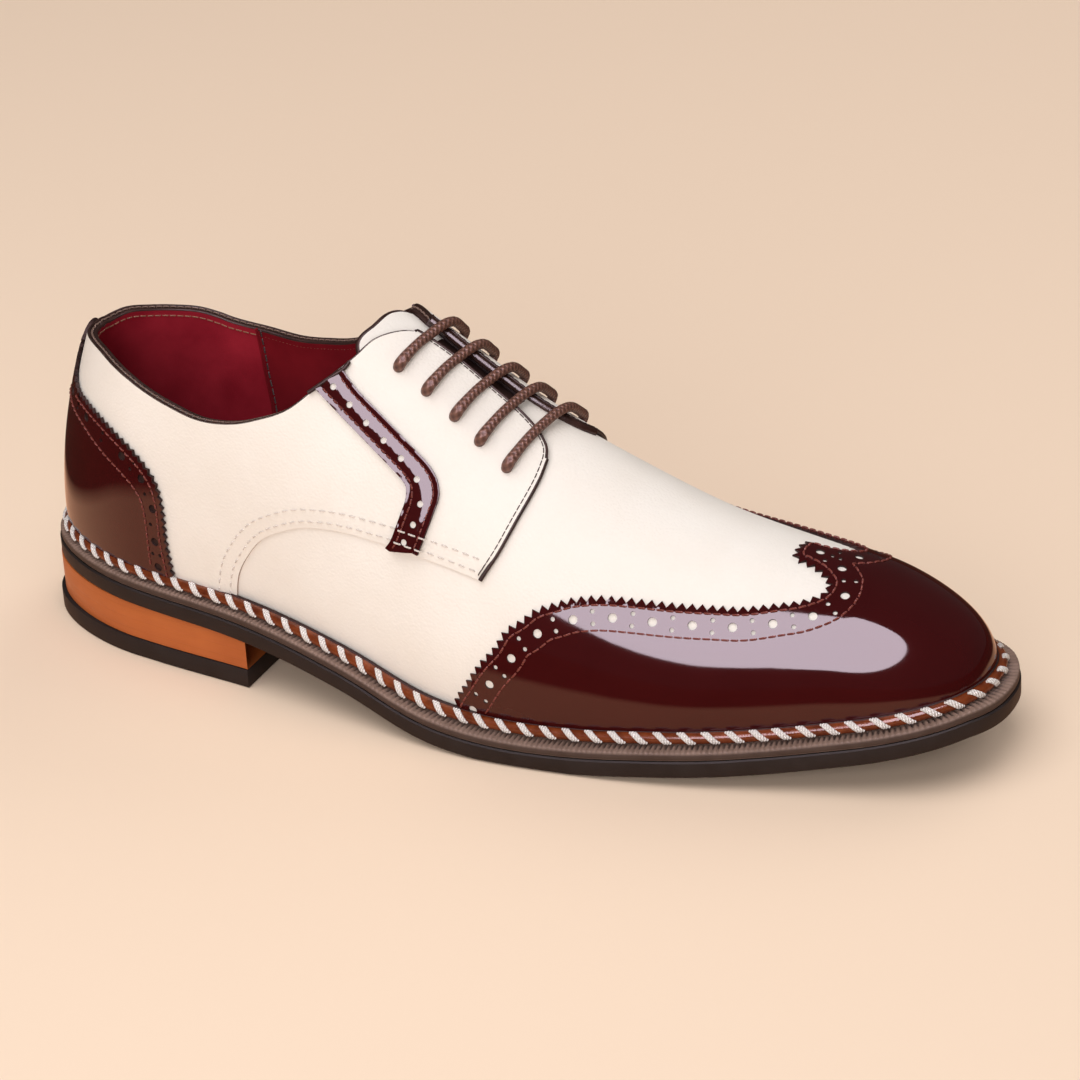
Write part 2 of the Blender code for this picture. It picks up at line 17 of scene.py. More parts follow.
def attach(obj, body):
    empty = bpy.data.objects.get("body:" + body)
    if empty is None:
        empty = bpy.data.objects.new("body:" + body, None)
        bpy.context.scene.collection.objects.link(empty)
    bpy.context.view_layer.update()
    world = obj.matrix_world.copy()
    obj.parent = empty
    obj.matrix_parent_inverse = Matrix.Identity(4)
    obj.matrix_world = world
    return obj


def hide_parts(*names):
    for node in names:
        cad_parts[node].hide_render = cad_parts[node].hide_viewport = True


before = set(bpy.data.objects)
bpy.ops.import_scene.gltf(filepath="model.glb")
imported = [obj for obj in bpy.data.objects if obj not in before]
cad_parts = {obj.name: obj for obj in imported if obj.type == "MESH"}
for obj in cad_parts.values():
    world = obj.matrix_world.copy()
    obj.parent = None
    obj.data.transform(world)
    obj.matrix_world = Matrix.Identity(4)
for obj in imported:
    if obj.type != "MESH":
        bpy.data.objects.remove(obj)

LOG = logging.getLogger("brogue")
Array = np.ndarray
Table = tuple[tuple[float, ...], ...]
Outline = list[tuple[float, float]]
Piece = bpy.types.Object
Socket = bpy.types.NodeSocket
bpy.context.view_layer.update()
BODY = "root"


class Side(Enum):
    """The two sides of a right shoe."""

    LATERAL = -1.0
    MEDIAL = 1.0


class Face(Enum):
    """Material slot of each face of a leather."""

    OUTER = 0
    INNER = 1
    RIM = 2


class Cut(Enum):
    """What a pattern does to a hide."""

    KEEP = "INTERSECT"
    REMOVE = "DIFFERENCE"


class Slot(Enum):
    """Material slots of the record."""

    CREAM = "cream_leather"
    PATENT = "patent_leather"
    INSOLE = "insole"
    BEAD = "bead"
    WELT = "welt"
    RUBBER = "black_rubber"
    HEEL = "heel_block"
    LACE = "lace"


# thicknesses and clearances, as in the solids
FIT = 0.00035
SHELL = -0.0014
WALL = 0.0016
QUARTER = 0.00115
OVERLAY = 0.00105
TONGUE = 0.0016
SEAT = 0.0002
OVERLAY_RISE = 0.0046
FOOT_RISE = 0.0028
QUARTER_LOW = SHELL + FIT
QUARTER_TOP = QUARTER_LOW + QUARTER
CAP_TOP = QUARTER_LOW + OVERLAY
OVER_LOW = QUARTER_TOP + FIT
OVER_TOP = OVER_LOW + OVERLAY
LINING = SHELL - WALL

# steps of measured lines, and the lap of the front lining over the back one
STEP = 0.0012
EDGE_STEP = 0.0010
LAP = 0.00035

# pattern lines: station and rise, and a medial rise where it differs
TOPLINE = (
    (0.000, 0.405, 0.405), (0.008, 0.410, 0.407), (0.017, 0.411, 0.394), (0.025, 0.406, 0.382),
    (0.033, 0.391, 0.370), (0.043, 0.369, 0.348), (0.054, 0.352, 0.340), (0.065, 0.345, 0.337),
    (0.075, 0.362, 0.355), (0.084, 0.400, 0.388), (0.094, 0.466, 0.455), (0.102, 0.560, 0.548),
    (0.110, 0.682, 0.672), (0.1144, 0.782, 0.775), (0.1195, 0.866, 0.862), (0.1225, 0.905, 0.905),
)
SLIT = (
    (0.1225, 0.905), (0.135, 0.915), (0.147, 0.920), (0.152, 0.950), (0.153, 1.000),
)
FACING = (
    (0.1235, 0.921), (0.134, 0.935), (0.144, 0.930), (0.1527, 0.921), (0.1592, 0.895), (0.1635, 0.854),
    (0.1650, 0.808),
)
TAB_FRONT = (
    (0.1650, 0.808), (0.1650, 0.724), (0.1635, 0.623), (0.1599, 0.481), (0.1556, 0.377),
)
QUARTER_FOOT = (
    (0.1556, 0.377), (0.1469, 0.370), (0.1368, 0.352), (0.1289, 0.334), (0.1209, 0.311), (0.1115, 0.284),
    (0.1007, 0.247), (0.0927, 0.209), (0.0848, 0.165), (0.0790, 0.117), (0.0740, 0.059), (0.0715, -0.020),
    (0.0700, -0.100),
)
STRAP_FRONT = (
    (0.1088, 0.642), (0.1133, 0.622), (0.1196, 0.608), (0.1261, 0.595), (0.1325, 0.582), (0.1358, 0.575),
    (0.1382, 0.564), (0.1398, 0.549), (0.1408, 0.528), (0.1409, 0.503), (0.1403, 0.474), (0.1395, 0.438),
    (0.1386, 0.403), (0.1373, 0.358),
)
STRAP_BACK = (
    (0.1276, 0.328), (0.1291, 0.352), (0.1302, 0.386), (0.1312, 0.423), (0.1320, 0.456), (0.1319, 0.481),
    (0.1310, 0.493), (0.1282, 0.502), (0.1251, 0.508), (0.1186, 0.521), (0.1123, 0.534), (0.1058, 0.549),
    (0.1021, 0.558),
)
STRAP_HEAD = ((0.1002, 0.538), (0.1020, 0.559), (0.1053, 0.601), (0.1088, 0.648), (0.1098, 0.674))
STRAP_HOLES = (
    (0.1070, 0.590), (0.1123, 0.576), (0.1177, 0.562), (0.1233, 0.552), (0.1289, 0.541), (0.1342, 0.521),
    (0.1363, 0.473), (0.1351, 0.418), (0.1330, 0.367),
)
COUNTER_EDGE = (
    (0.0012, 0.388), (0.0016, 0.370), (0.0030, 0.350), (0.0060, 0.328), (0.0114, 0.310), (0.0200, 0.300),
    (0.0294, 0.283), (0.0407, 0.247), (0.0480, 0.208), (0.0505, 0.160), (0.0505, 0.088), (0.0514, 0.000),
    (0.0514, -0.100),
)
WING_EDGE = (
    (0.1440, -0.100, -0.100), (0.1476, 0.021, 0.030), (0.1527, 0.100, 0.130), (0.1570, 0.163, 0.220),
    (0.1614, 0.218, 0.290), (0.1643, 0.272, 0.345), (0.1686, 0.312, 0.395), (0.1722, 0.354, 0.432),
    (0.1773, 0.389, 0.463), (0.1823, 0.423, 0.484), (0.1900, 0.460, 0.503), (0.1985, 0.487, 0.527),
    (0.2090, 0.515, 0.570), (0.2190, 0.543, 0.615), (0.2278, 0.570, 0.650), (0.2365, 0.628, 0.680),
    (0.2416, 0.669, 0.705), (0.2459, 0.728, 0.746), (0.2473, 0.775, 0.790), (0.2473, 0.828, 0.828),
)
WING_PEAK = ((0.2473, 0.828), (0.2437, 0.880), (0.2394, 0.905), (0.2358, 0.912), (0.2348, 0.935), (0.2343, 1.0))
TONGUE_EDGE = (
    (0.1165, 1.000), (0.1150, 0.940), (0.1133, 0.848), (0.1105, 0.745), (0.1150, 0.690), (0.1260, 0.660),
    (0.1400, 0.650), (0.1560, 0.690), (0.1690, 0.800), (0.1740, 1.000),
)
TONGUE_MEDIAL = (
    (0.1165, 1.000),
    (0.1173, 0.940),
    (0.1176, 0.880),
    (0.1160, 0.800),
    (0.1150, 0.745),
    (0.1170, 0.690),
    *TONGUE_EDGE[5:],
)
LACE_HOLES = ((0.1224, 0.753), (0.1310, 0.745), (0.1397, 0.736), (0.1476, 0.720), (0.1563, 0.699))
LACE_LEAD = 0.005
FACING_LEAD = 0.003
COUNTER_ROW = (
    (0.0000, 0.285), (0.0060, 0.280), (0.0120, 0.270), (0.0198, 0.255), (0.0300, 0.224), (0.0375, 0.197),
    (0.0426, 0.167), (0.0440, 0.133), (0.0440, 0.089), (0.0437, 0.035),
)
COUNTER_HOLES = (
    (0.0080, 0.298), (0.0207, 0.275), (0.0374, 0.232), (0.0442, 0.201), (0.0474, 0.150), (0.0467, 0.086),
    (0.0465, 0.036),
)
LINING_SEAM = ((0.0514, 0.345), (0.0518, 0.294), (0.0521, 0.252), (0.0528, 0.212), (0.0533, 0.172), (0.0540, 0.040))


def fair(rows: Table, x: Array) -> Array:
    """Smooth curve through a table.

    Args:
        rows: Rows of a position followed by one or more values.
        x: Positions to read.

    Returns:
        One value for each column after the first, on a new last axis.
    """
    data = np.array(rows, dtype=float)
    at = data[:, 0]
    value = data[:, 1:]
    gap = np.diff(at)[:, None]
    rate = np.diff(value, axis=0) / gap
    slope = np.empty_like(value)
    slope[0] = rate[0]
    slope[-1] = rate[-1]
    slope[1:-1] = (rate[:-1] * gap[1:] + rate[1:] * gap[:-1]) / (gap[1:] + gap[:-1])
    x = np.clip(np.asarray(x, dtype=float), at[0], at[-1])
    low = np.clip(np.searchsorted(at, x) - 1, 0, len(at) - 2)
    span = (at[low + 1] - at[low])[..., None]
    t = (x[..., None] - at[low][..., None]) / span
    rise = t * t * (3 - 2 * t)
    ends = value[low] * (1 - rise) + value[low + 1] * rise
    return ends + span * (slope[low] * t * (1 - t) ** 2 + slope[low + 1] * t * t * (t - 1))


def unit(vectors: Array) -> Array:
    """Vectors at length one."""
    return vectors / np.maximum(np.linalg.norm(vectors, axis=-1), 1e-12)[..., None]


@dataclass(frozen=True)
class Last:
    """The last: stations run from the back of the heel, rise is 0 at the feather and 1 at the ridge."""

    length: float = 0.290
    heel_pole: float = 0.040
    toe_pole: float = 0.256
    heel_round: float = 2.15
    toe_round: float = 2.35
    toe_slope: float = 0.33
    middle: tuple[float, float] = (0.1451, -0.0035646)
    widths: Table = (
        (0.000, 0.0215, 0.0215), (0.045, 0.0302, 0.0295), (0.080, 0.0346, 0.0285), (0.115, 0.0408, 0.0290),
        (0.150, 0.0460, 0.0345), (0.185, 0.0444, 0.0388), (0.212, 0.0406, 0.0380), (0.238, 0.0342, 0.0345),
        (0.262, 0.0282, 0.0290), (0.290, 0.0239, 0.0225),
    )
    feathers: Table = (
        (0.000, 0.0260), (0.040, 0.0252), (0.075, 0.0232), (0.110, 0.0176), (0.139, 0.0098), (0.157, 0.00795),
        (0.184, 0.00795), (0.205, 0.0097), (0.230, 0.0120), (0.260, 0.0168), (0.290, 0.0229),
    )
    ridge: Table = (
        (0.040, 0.1460), (0.075, 0.1375), (0.105, 0.1182), (0.130, 0.1024), (0.155, 0.0858), (0.180, 0.0724),
        (0.205, 0.0621), (0.230, 0.0559), (0.256, 0.0506),
    )
    sections: Table = (
        (0.000, 0.060, 0.40, 0.03), (0.040, 0.100, 0.46, 0.62), (0.075, 0.150, 0.49, 0.69),
        (0.110, 0.180, 0.50, 0.55), (0.145, 0.180, 0.50, 0.48), (0.185, 0.140, 0.55, 0.50),
        (0.220, 0.100, 0.54, 0.54), (0.256, 0.080, 0.56, 0.66), (0.290, 0.060, 0.55, 0.60),
    )
    reaches: Table = (
        (0.000, 0.0041), (0.060, 0.0046), (0.110, 0.0053), (0.160, 0.0063), (0.220, 0.0063), (0.290, 0.0059),
    )

    def half_width(self, station: Array, side: Array) -> Array:
        """Half width of the feather line, closed round the heel and the toe.

        Args:
            station: Stations.
            side: Side of each.

        Returns:
            Half widths.
        """
        both = fair(self.widths, station)
        width = np.where(side < 0, both[..., 0], both[..., 1])
        heel = np.clip((self.heel_pole - station) / self.heel_pole, 0, 1)
        toe = np.clip((station - self.toe_pole) / (self.length - self.toe_pole), 0, 1)
        round_heel = (1 - heel ** self.heel_round) ** (1 / self.heel_round)
        round_toe = (1 - toe ** self.toe_round) ** (1 / self.toe_round)
        return width * round_heel * round_toe

    def feather(self, station: Array) -> Array:
        """Height of the feather line."""
        return fair(self.feathers, station)[..., 0]

    def reach(self, station: Array) -> Array:
        """Reach of the welt beyond the feather line."""
        return fair(self.reaches, station)[..., 0]

    def chart(self, station: Array, side: Array, rise: Array) -> tuple[Array, Array]:
        """Chart point of a station on one side at a rise.

        Args:
            station: Stations.
            side: Side of each.
            rise: Rise of each.

        Returns:
            Chart positions along and across the shoe.
        """
        root = np.clip(station, self.heel_pole, self.toe_pole)
        x = root + (station - root) * (1 - rise)
        y = side * self.half_width(station, side) * (1 - rise)
        return x, y

    def place(self, x: Array, y: Array) -> tuple[Array, Array, Array]:
        """Station, side and rise of a chart point.

        Args:
            x: Chart position along the shoe.
            y: Chart position across the shoe.

        Returns:
            Station, side as -1 or 1, and rise.
        """
        side = np.where(y < 0, Side.LATERAL.value, Side.MEDIAL.value)
        root = np.clip(x, self.heel_pole, self.toe_pole)
        station = root.copy()
        turn = np.linspace(0, math.pi / 2, 241)
        heel_run = self.heel_pole * (1 - np.cos(turn))
        toe_run = self.toe_pole + (self.length - self.toe_pole) * np.cos(turn)
        fans = ((heel_run, self.heel_pole, x < self.heel_pole), (toe_run, self.toe_pole, x > self.toe_pole))
        for run, pole, beyond in fans:
            angle = np.arctan2(np.abs(y), np.abs(x - pole))
            for hand in Side:
                pick = beyond & (side == hand.value)
                ladder = np.arctan2(self.half_width(run, hand.value), np.abs(run - pole))
                station[pick] = np.interp(angle[pick], ladder, run)
        rim = np.hypot(station - root, self.half_width(station, side))
        return station, side, 1 - np.hypot(x - root, y) / rim

    def skin(self, x: Array, y: Array) -> Array:
        """Point of the last above a chart point.

        Args:
            x: Chart position along the shoe.
            y: Chart position across it.

        Returns:
            Points in the frame of the last.
        """
        station, side, rise = self.place(x, y)
        root = np.clip(station, self.heel_pole, self.toe_pole)
        along = station - root
        across = side * self.half_width(station, side)
        rim = np.hypot(along, across)
        foot = self.feather(station)
        top = fair(self.ridge, root)[..., 0]
        lean, wall, crown = np.moveaxis(fair(self.sections, station), -1, 0)
        drop = np.where(station > self.toe_pole, self.toe_slope, 0.0) * along / rim
        height = top - foot
        a = (1 - rise) ** 3
        b = 3 * (1 - rise) ** 2 * rise
        c = 3 * (1 - rise) * rise ** 2
        d = rise ** 3
        out = a * rim + b * (rim + lean * wall * height) + c * crown * rim
        z = a * foot + b * (foot + wall * height) + c * (top - drop * crown * rim) + d * top
        return np.stack([root + along / rim * out, across / rim * out, z], axis=-1)

    def slopes(self, x: Array, y: Array) -> tuple[Array, Array, Array]:
        """Rates of the last's point along and across the chart, and its outward normal.

        Args:
            x: Chart position along the shoe.
            y: Chart position across it.

        Returns:
            The two rates and the normal.
        """
        step = 0.0004
        run = (self.skin(x + step, y) - self.skin(x - step, y)) / (2 * step)
        climb = (self.skin(x, y + step) - self.skin(x, y - step)) / (2 * step)
        return run, climb, unit(np.cross(run, climb))

    def unroll(self, x: Array, y: Array, moves: Array) -> tuple[Array, Array]:
        """Chart steps that make true moves along the last.

        Args:
            x: Chart position along the shoe.
            y: Chart position across it.
            moves: True moves.

        Returns:
            Steps along and across the chart.
        """
        run, climb, _ = self.slopes(x, y)
        rr, rc, cc = (run * run).sum(-1), (run * climb).sum(-1), (climb * climb).sum(-1)
        mr, mc = (moves * run).sum(-1), (moves * climb).sum(-1)
        size = rr * cc - rc * rc
        return (mr * cc - mc * rc) / size, (mc * rr - mr * rc) / size

    def lasted(self, x: Array, y: Array, offset: Array) -> tuple[Array, Array]:
        """Point at an offset outside the last above a chart point, over the sole's middle.

        Args:
            x: Chart position along the shoe.
            y: Chart position across the shoe.
            offset: Distance outside the last.

        Returns:
            Points in the part's frame and outward normals.
        """
        normal = self.slopes(x, y)[2]
        shift = np.array([*self.middle, 0.0])
        return self.skin(x, y) + normal * np.asarray(offset)[..., None] - shift, normal

    def rise_at(self, station: Array, side: Array, height: float) -> Array:
        """Rise at which the wall is a height above the feather line.

        Args:
            station: Stations.
            side: Side of each.
            height: Height above the feather line.

        Returns:
            Rises.
        """
        low = np.zeros_like(station)
        high = np.full_like(station, 0.5)
        for _ in range(30):
            mid = (low + high) / 2
            over = self.skin(*self.chart(station, side, mid))[..., 2] - self.feather(station) > height
            high = np.where(over, mid, high)
            low = np.where(over, low, mid)
        return low

    def ribs(self, fan: int, straight: int) -> tuple[Array, Array]:
        """Stations and sides of ribs, once round from the heel along the lateral side.

        Args:
            fan: Ribs in a quarter turn of heel or toe.
            straight: Ribs along each side.

        Returns:
            Stations and sides.
        """
        turn = np.linspace(0, math.pi / 2, fan + 1)
        heel = self.heel_pole * (1 - np.cos(turn))
        flank = np.linspace(self.heel_pole, self.toe_pole, straight + 1)[1:-1]
        toe = self.toe_pole + (self.length - self.toe_pole) * np.sin(turn)
        half = np.concatenate([heel, flank, toe])
        stations = np.concatenate([half, half[-2:0:-1]])
        sides = np.concatenate([np.full(len(half), -1.0), np.full(len(half) - 2, 1.0)])
        return stations, sides

    def rim(self, count: int) -> tuple[Array, Array, Array]:
        """Feather line in plan at even steps.

        Args:
            count: Number of points round the shoe.

        Returns:
            Plan points, outward plan directions and stations.
        """
        stations, sides = self.ribs(90, 160)
        x, y = self.chart(stations, sides, np.zeros_like(stations))
        loop = np.stack([x, y, stations], axis=-1)
        closed = np.vstack([loop, loop[:1]])
        length = np.concatenate([[0.0], np.cumsum(np.hypot(*np.diff(closed[:, :2], axis=0).T))])
        at = np.linspace(0, length[-1], count, endpoint=False)
        even = np.stack([np.interp(at, length, closed[:, i]) for i in range(3)], axis=-1)
        for _ in range(3):
            even[:, :2] = (np.roll(even, 1, 0) + 2 * even + np.roll(even, -1, 0))[:, :2] / 4
        run = np.roll(even, -1, 0)[:, :2] - np.roll(even, 1, 0)[:, :2]
        out = unit(np.stack([run[:, 1], -run[:, 0]], axis=-1))
        return even[:, :2], out, even[:, 2]


@dataclass
class ChartLine:
    """Line drawn on the chart and measured on the last."""

    last: Last
    x: Array
    y: Array

    @classmethod
    def flow(cls, last: Last, points: Table, side: Side, steps: int = 10) -> "ChartLine":
        """Smooth line through pattern points on one side.

        Args:
            last: The last.
            points: Stations and rises.
            side: Side of the shoe.
            steps: Steps between two points.

        Returns:
            The line.
        """
        rows = tuple((float(i), *point) for i, point in enumerate(points))
        at = np.linspace(0, len(points) - 1, (len(points) - 1) * steps + 1)
        line = fair(rows, at)
        rise = line[:, 1] if side is Side.LATERAL else line[:, -1]
        return cls(last, *last.chart(line[:, 0], side.value, rise))

    @classmethod
    def spots(cls, last: Last, points: Table, side: Side, lead: float = 0.0) -> "ChartLine":
        """The pattern points themselves on one side, moved to the toe by a lead on the medial side."""
        station, rise = np.array(points).T
        return cls(last, *last.chart(station + (lead if side is Side.MEDIAL else 0.0), side.value, rise))

    def measure(self) -> Array:
        """True length from the start to each point."""
        points = self.last.skin(self.x, self.y)
        return np.concatenate([[0.0], np.cumsum(np.linalg.norm(np.diff(points, axis=0), axis=-1))])

    def at(self, lengths: Array) -> "ChartLine":
        """Points of the line at true lengths from its start."""
        far = self.measure()
        return ChartLine(self.last, np.interp(lengths, far, self.x), np.interp(lengths, far, self.y))

    def beside(self, lengths: Array, reach: float) -> "ChartLine":
        """Points at a true distance to the left of the line at true lengths from its start."""
        far, line = self.measure(), self.shifted(reach)
        return ChartLine(self.last, np.interp(lengths, far, line.x), np.interp(lengths, far, line.y))

    def every(self, pitch: float, start: float = 0.0, end: float = 0.0) -> "ChartLine":
        """Even points about a pitch apart, leaving a length bare at each end."""
        total = self.measure()[-1] - start - end
        return self.at(start + np.linspace(0, total, max(2, round(total / pitch) + 1)))

    def shifted(self, reach: Array) -> "ChartLine":
        """Parallel line at a true distance to the left of travel, seen from outside.

        Args:
            reach: True distance to the left, one or one for each point.

        Returns:
            The parallel line.
        """
        run, climb, normal = self.last.slopes(self.x, self.y)
        along = run * np.gradient(self.x)[:, None] + climb * np.gradient(self.y)[:, None]
        left = np.cross(normal, unit(along)) * np.broadcast_to(reach, self.x.shape)[:, None]
        step_x, step_y = self.last.unroll(self.x, self.y, left)
        return ChartLine(self.last, self.x + step_x, self.y + step_y)

    def inside(self, reach: float) -> "ChartLine":
        """Parallel line to the left of travel, without the loops that tight bends leave.

        Args:
            reach: True distance to the left.

        Returns:
            The parallel line.
        """
        line = self.shifted(reach)
        base = self.last.skin(self.x, self.y)
        spots = line.last.skin(line.x, line.y)
        gap = np.linalg.norm(spots[:, None, :] - base[None, :, :], axis=-1).min(axis=1)
        kept = gap > 0.94 * abs(reach)
        return ChartLine(self.last, line.x[kept], line.y[kept])

    def pinked(self, pitch: float, depth: float) -> "ChartLine":
        """Zigzag edge, half its depth to each side of the line."""
        fine = self.every(pitch / 2)
        return fine.shifted(np.where(np.arange(len(fine.x)) % 2 == 1, depth / 2, -depth / 2))

    def then(self, other: "ChartLine") -> "ChartLine":
        """This line followed by another."""
        return ChartLine(self.last, np.concatenate([self.x, other.x]), np.concatenate([self.y, other.y]))

    def back(self) -> "ChartLine":
        """The line run backwards."""
        return ChartLine(self.last, self.x[::-1], self.y[::-1])

    def part(self, first: float, last: float) -> "ChartLine":
        """Stretch between two shares of the true length."""
        far = np.linspace(first, last, max(8, int((last - first) * len(self.x) * 2)))
        return self.at(far * self.measure()[-1])

    def stretched(self, length: float) -> "ChartLine":
        """The line run on straight at both ends by a chart length.

        Args:
            length: Chart length added at each end.

        Returns:
            The longer line.
        """
        ends = []
        for near, far in ((0, 1), (-1, -2)):
            away = np.array([self.x[near] - self.x[far], self.y[near] - self.y[far]])
            ends.append(np.array([self.x[near], self.y[near]]) + away / np.linalg.norm(away) * length)
        x = np.concatenate([[ends[0][0]], self.x, [ends[1][0]]])
        y = np.concatenate([[ends[0][1]], self.y, [ends[1][1]]])
        return ChartLine(self.last, x, y)

    def nearest(self, spots: "ChartLine") -> Array:
        """True lengths along the line at which it passes nearest to spots."""
        gap = np.hypot(self.x[None, :] - spots.x[:, None], self.y[None, :] - spots.y[:, None])
        return self.measure()[gap.argmin(axis=1)]

    def holds(self, spots: "ChartLine") -> Array:
        """Whether spots lie inside this line, taken as a closed outline.

        Args:
            spots: Points to test.

        Returns:
            True for each point inside.
        """
        ax, ay = self.x[None, :], self.y[None, :]
        bx, by = np.roll(ax, -1), np.roll(ay, -1)
        px, py = spots.x[:, None], spots.y[:, None]
        spans = (ay > py) != (by > py)
        rise = np.where(by == ay, 1e-12, by - ay)
        return (spans & (px < (bx - ax) * (py - ay) / rise + ax)).sum(axis=1) % 2 == 1

    def outline(self) -> Outline:
        """Points without repeats, as a closed outline.

        Returns:
            The outline.
        """
        kept: Outline = []
        for point in zip(self.x.tolist(), self.y.tolist()):
            if not kept or math.dist(kept[-1], point) > 0.00008:
                kept.append(point)
        if math.dist(kept[0], kept[-1]) < 0.00008:
            kept.pop()
        return kept

    def frames(self, offset: float) -> tuple[Array, Array, Array]:
        """Points at an offset, with directions along the line and out of the leather."""
        points, normal = self.last.lasted(self.x, self.y, offset)
        return points, unit(np.gradient(points, axis=0)), normal


def led(points: Table, side: Side) -> Table:
    """Pattern points, moved to the toe on the medial side as the facing runs forward.

    Args:
        points: Stations and rises.
        side: Side of the shoe.

    Returns:
        The points of that side.
    """
    if side is Side.LATERAL:
        return points
    start, end = FACING[0][0], FACING[-1][0]
    share = [min(max((station - start) / (end - start), 0.0), 1.0) for station, _ in points]
    return tuple((station + FACING_LEAD * part, rise) for (station, rise), part in zip(points, share))


def beyond(last: Last, first: float, end: float, side: Side, count: int = 25) -> ChartLine:
    """Chart line outside the feather line between two stations."""
    stations = np.linspace(first, end, count)
    return ChartLine(last, *last.chart(stations, side.value, -0.25))


class Bench:
    """Modelling steps with Blender's own operators, on one object at a time."""

    @staticmethod
    def pick(piece: Piece) -> None:
        """Selects one object alone.

        Args:
            piece: Object to select.
        """
        if bpy.context.object is not None and bpy.context.object.mode != "OBJECT":
            bpy.ops.object.mode_set(mode="OBJECT")
        bpy.ops.object.select_all(action="DESELECT")
        piece.hide_set(False)
        piece.select_set(True)
        bpy.context.view_layer.objects.active = piece

    @staticmethod
    def edit(piece: Piece, *steps: Callable[[], object]) -> None:
        """Runs edit-mode steps with everything selected.

        Args:
            piece: Object to edit.
            steps: Calls made in edit mode.
        """
        Bench.pick(piece)
        bpy.ops.object.mode_set(mode="EDIT")
        bpy.ops.mesh.select_all(action="SELECT")
        for step in steps:
            step()
        bpy.ops.object.mode_set(mode="OBJECT")

    @staticmethod
    def grid(name: str, columns: int, rows: int) -> Piece:
        """Flat grid primitive with a number of columns and rows of faces.

        Args:
            name: Name of the grid.
            columns: Faces along X.
            rows: Faces along Y.

        Returns:
            The grid.
        """
        bpy.ops.object.select_all(action="DESELECT")
        bpy.ops.mesh.primitive_grid_add(x_subdivisions=columns, y_subdivisions=rows, size=2.0)
        made = bpy.context.object
        made.name = made.data.name = name
        return made

    @staticmethod
    def weld(piece: Piece, distance: float = 0.00001) -> None:
        """Merges doubles and removes faces without area.

        Args:
            piece: Object to clean.
            distance: Reach of a merge.
        """
        Bench.edit(
            piece,
            lambda: bpy.ops.mesh.remove_doubles(threshold=distance),
            lambda: bpy.ops.mesh.dissolve_degenerate(threshold=distance),
        )

    @staticmethod
    def outward(piece: Piece) -> None:
        """Turns the faces of a closed piece outward."""
        Bench.edit(piece, lambda: bpy.ops.mesh.normals_make_consistent(inside=False))

    @staticmethod
    def apply(piece: Piece, kind: str, **settings: object) -> None:
        """Adds one modifier and applies it.

        Args:
            piece: Object to change.
            kind: Type of the modifier.
            settings: Its properties.
        """
        Bench.pick(piece)
        tool = piece.modifiers.new(kind.lower(), kind)
        for key, value in settings.items():
            setattr(tool, key, value)
        bpy.ops.object.modifier_apply(modifier=tool.name)

    @staticmethod
    def build(name: str, verts: Array, faces: Sequence[Sequence[int]]) -> Piece:
        """Object from arrays of points and faces.

        Args:
            name: Name of the object.
            verts: Points.
            faces: Point numbers of each face.

        Returns:
            The object.
        """
        mesh = bpy.data.meshes.new(name)
        mesh.from_pydata(np.asarray(verts).tolist(), [], [list(face) for face in faces])
        mesh.update()
        made = bpy.data.objects.new(name, mesh)
        bpy.context.scene.collection.objects.link(made)
        return made

    @staticmethod
    def prisms(name: str, outlines: Sequence[Outline], depth: float = 0.02) -> Piece:
        """Upright cutters over closed chart outlines.

        Args:
            name: Name of the cutter.
            outlines: Closed outlines.
            depth: Half of its height.

        Returns:
            The cutter.
        """
        verts: list[tuple[float, float, float]] = []
        faces: list[list[int]] = []
        for outline in outlines:
            faces.append(list(range(len(verts), len(verts) + len(outline))))
            verts.extend((x, y, -depth) for x, y in outline)
        made = Bench.build(name, np.array(verts), faces)
        lift = {"value": (0.0, 0.0, 2 * depth)}
        Bench.edit(made, lambda: bpy.ops.mesh.extrude_region_move(TRANSFORM_OT_translate=lift))
        Bench.outward(made)
        return made

    @staticmethod
    def cut(body: Piece, cutter: Piece, how: Cut) -> None:
        """Cuts a body with a cutter, which is used up."""
        Bench.apply(body, "BOOLEAN", object=cutter, operation=how.value, solver="EXACT")
        bpy.data.objects.remove(cutter)

    @staticmethod
    def smooth(piece: Piece, angle: float = 40.0) -> None:
        """Smooth shading that keeps edges above an angle."""
        Bench.pick(piece)
        bpy.ops.object.shade_smooth_by_angle(angle=math.radians(angle))

    @staticmethod
    def coords(piece: Piece) -> Array:
        """Points of a piece.

        Args:
            piece: Object to read.

        Returns:
            Its points.
        """
        found = np.empty(len(piece.data.vertices) * 3, dtype=np.float32)
        piece.data.vertices.foreach_get("co", found)
        return found.reshape(-1, 3).astype(float)

    @staticmethod
    def move(piece: Piece, points: Array) -> None:
        """Sets the points of a piece."""
        piece.data.vertices.foreach_set("co", np.asarray(points, dtype=np.float32).ravel())
        piece.data.update()


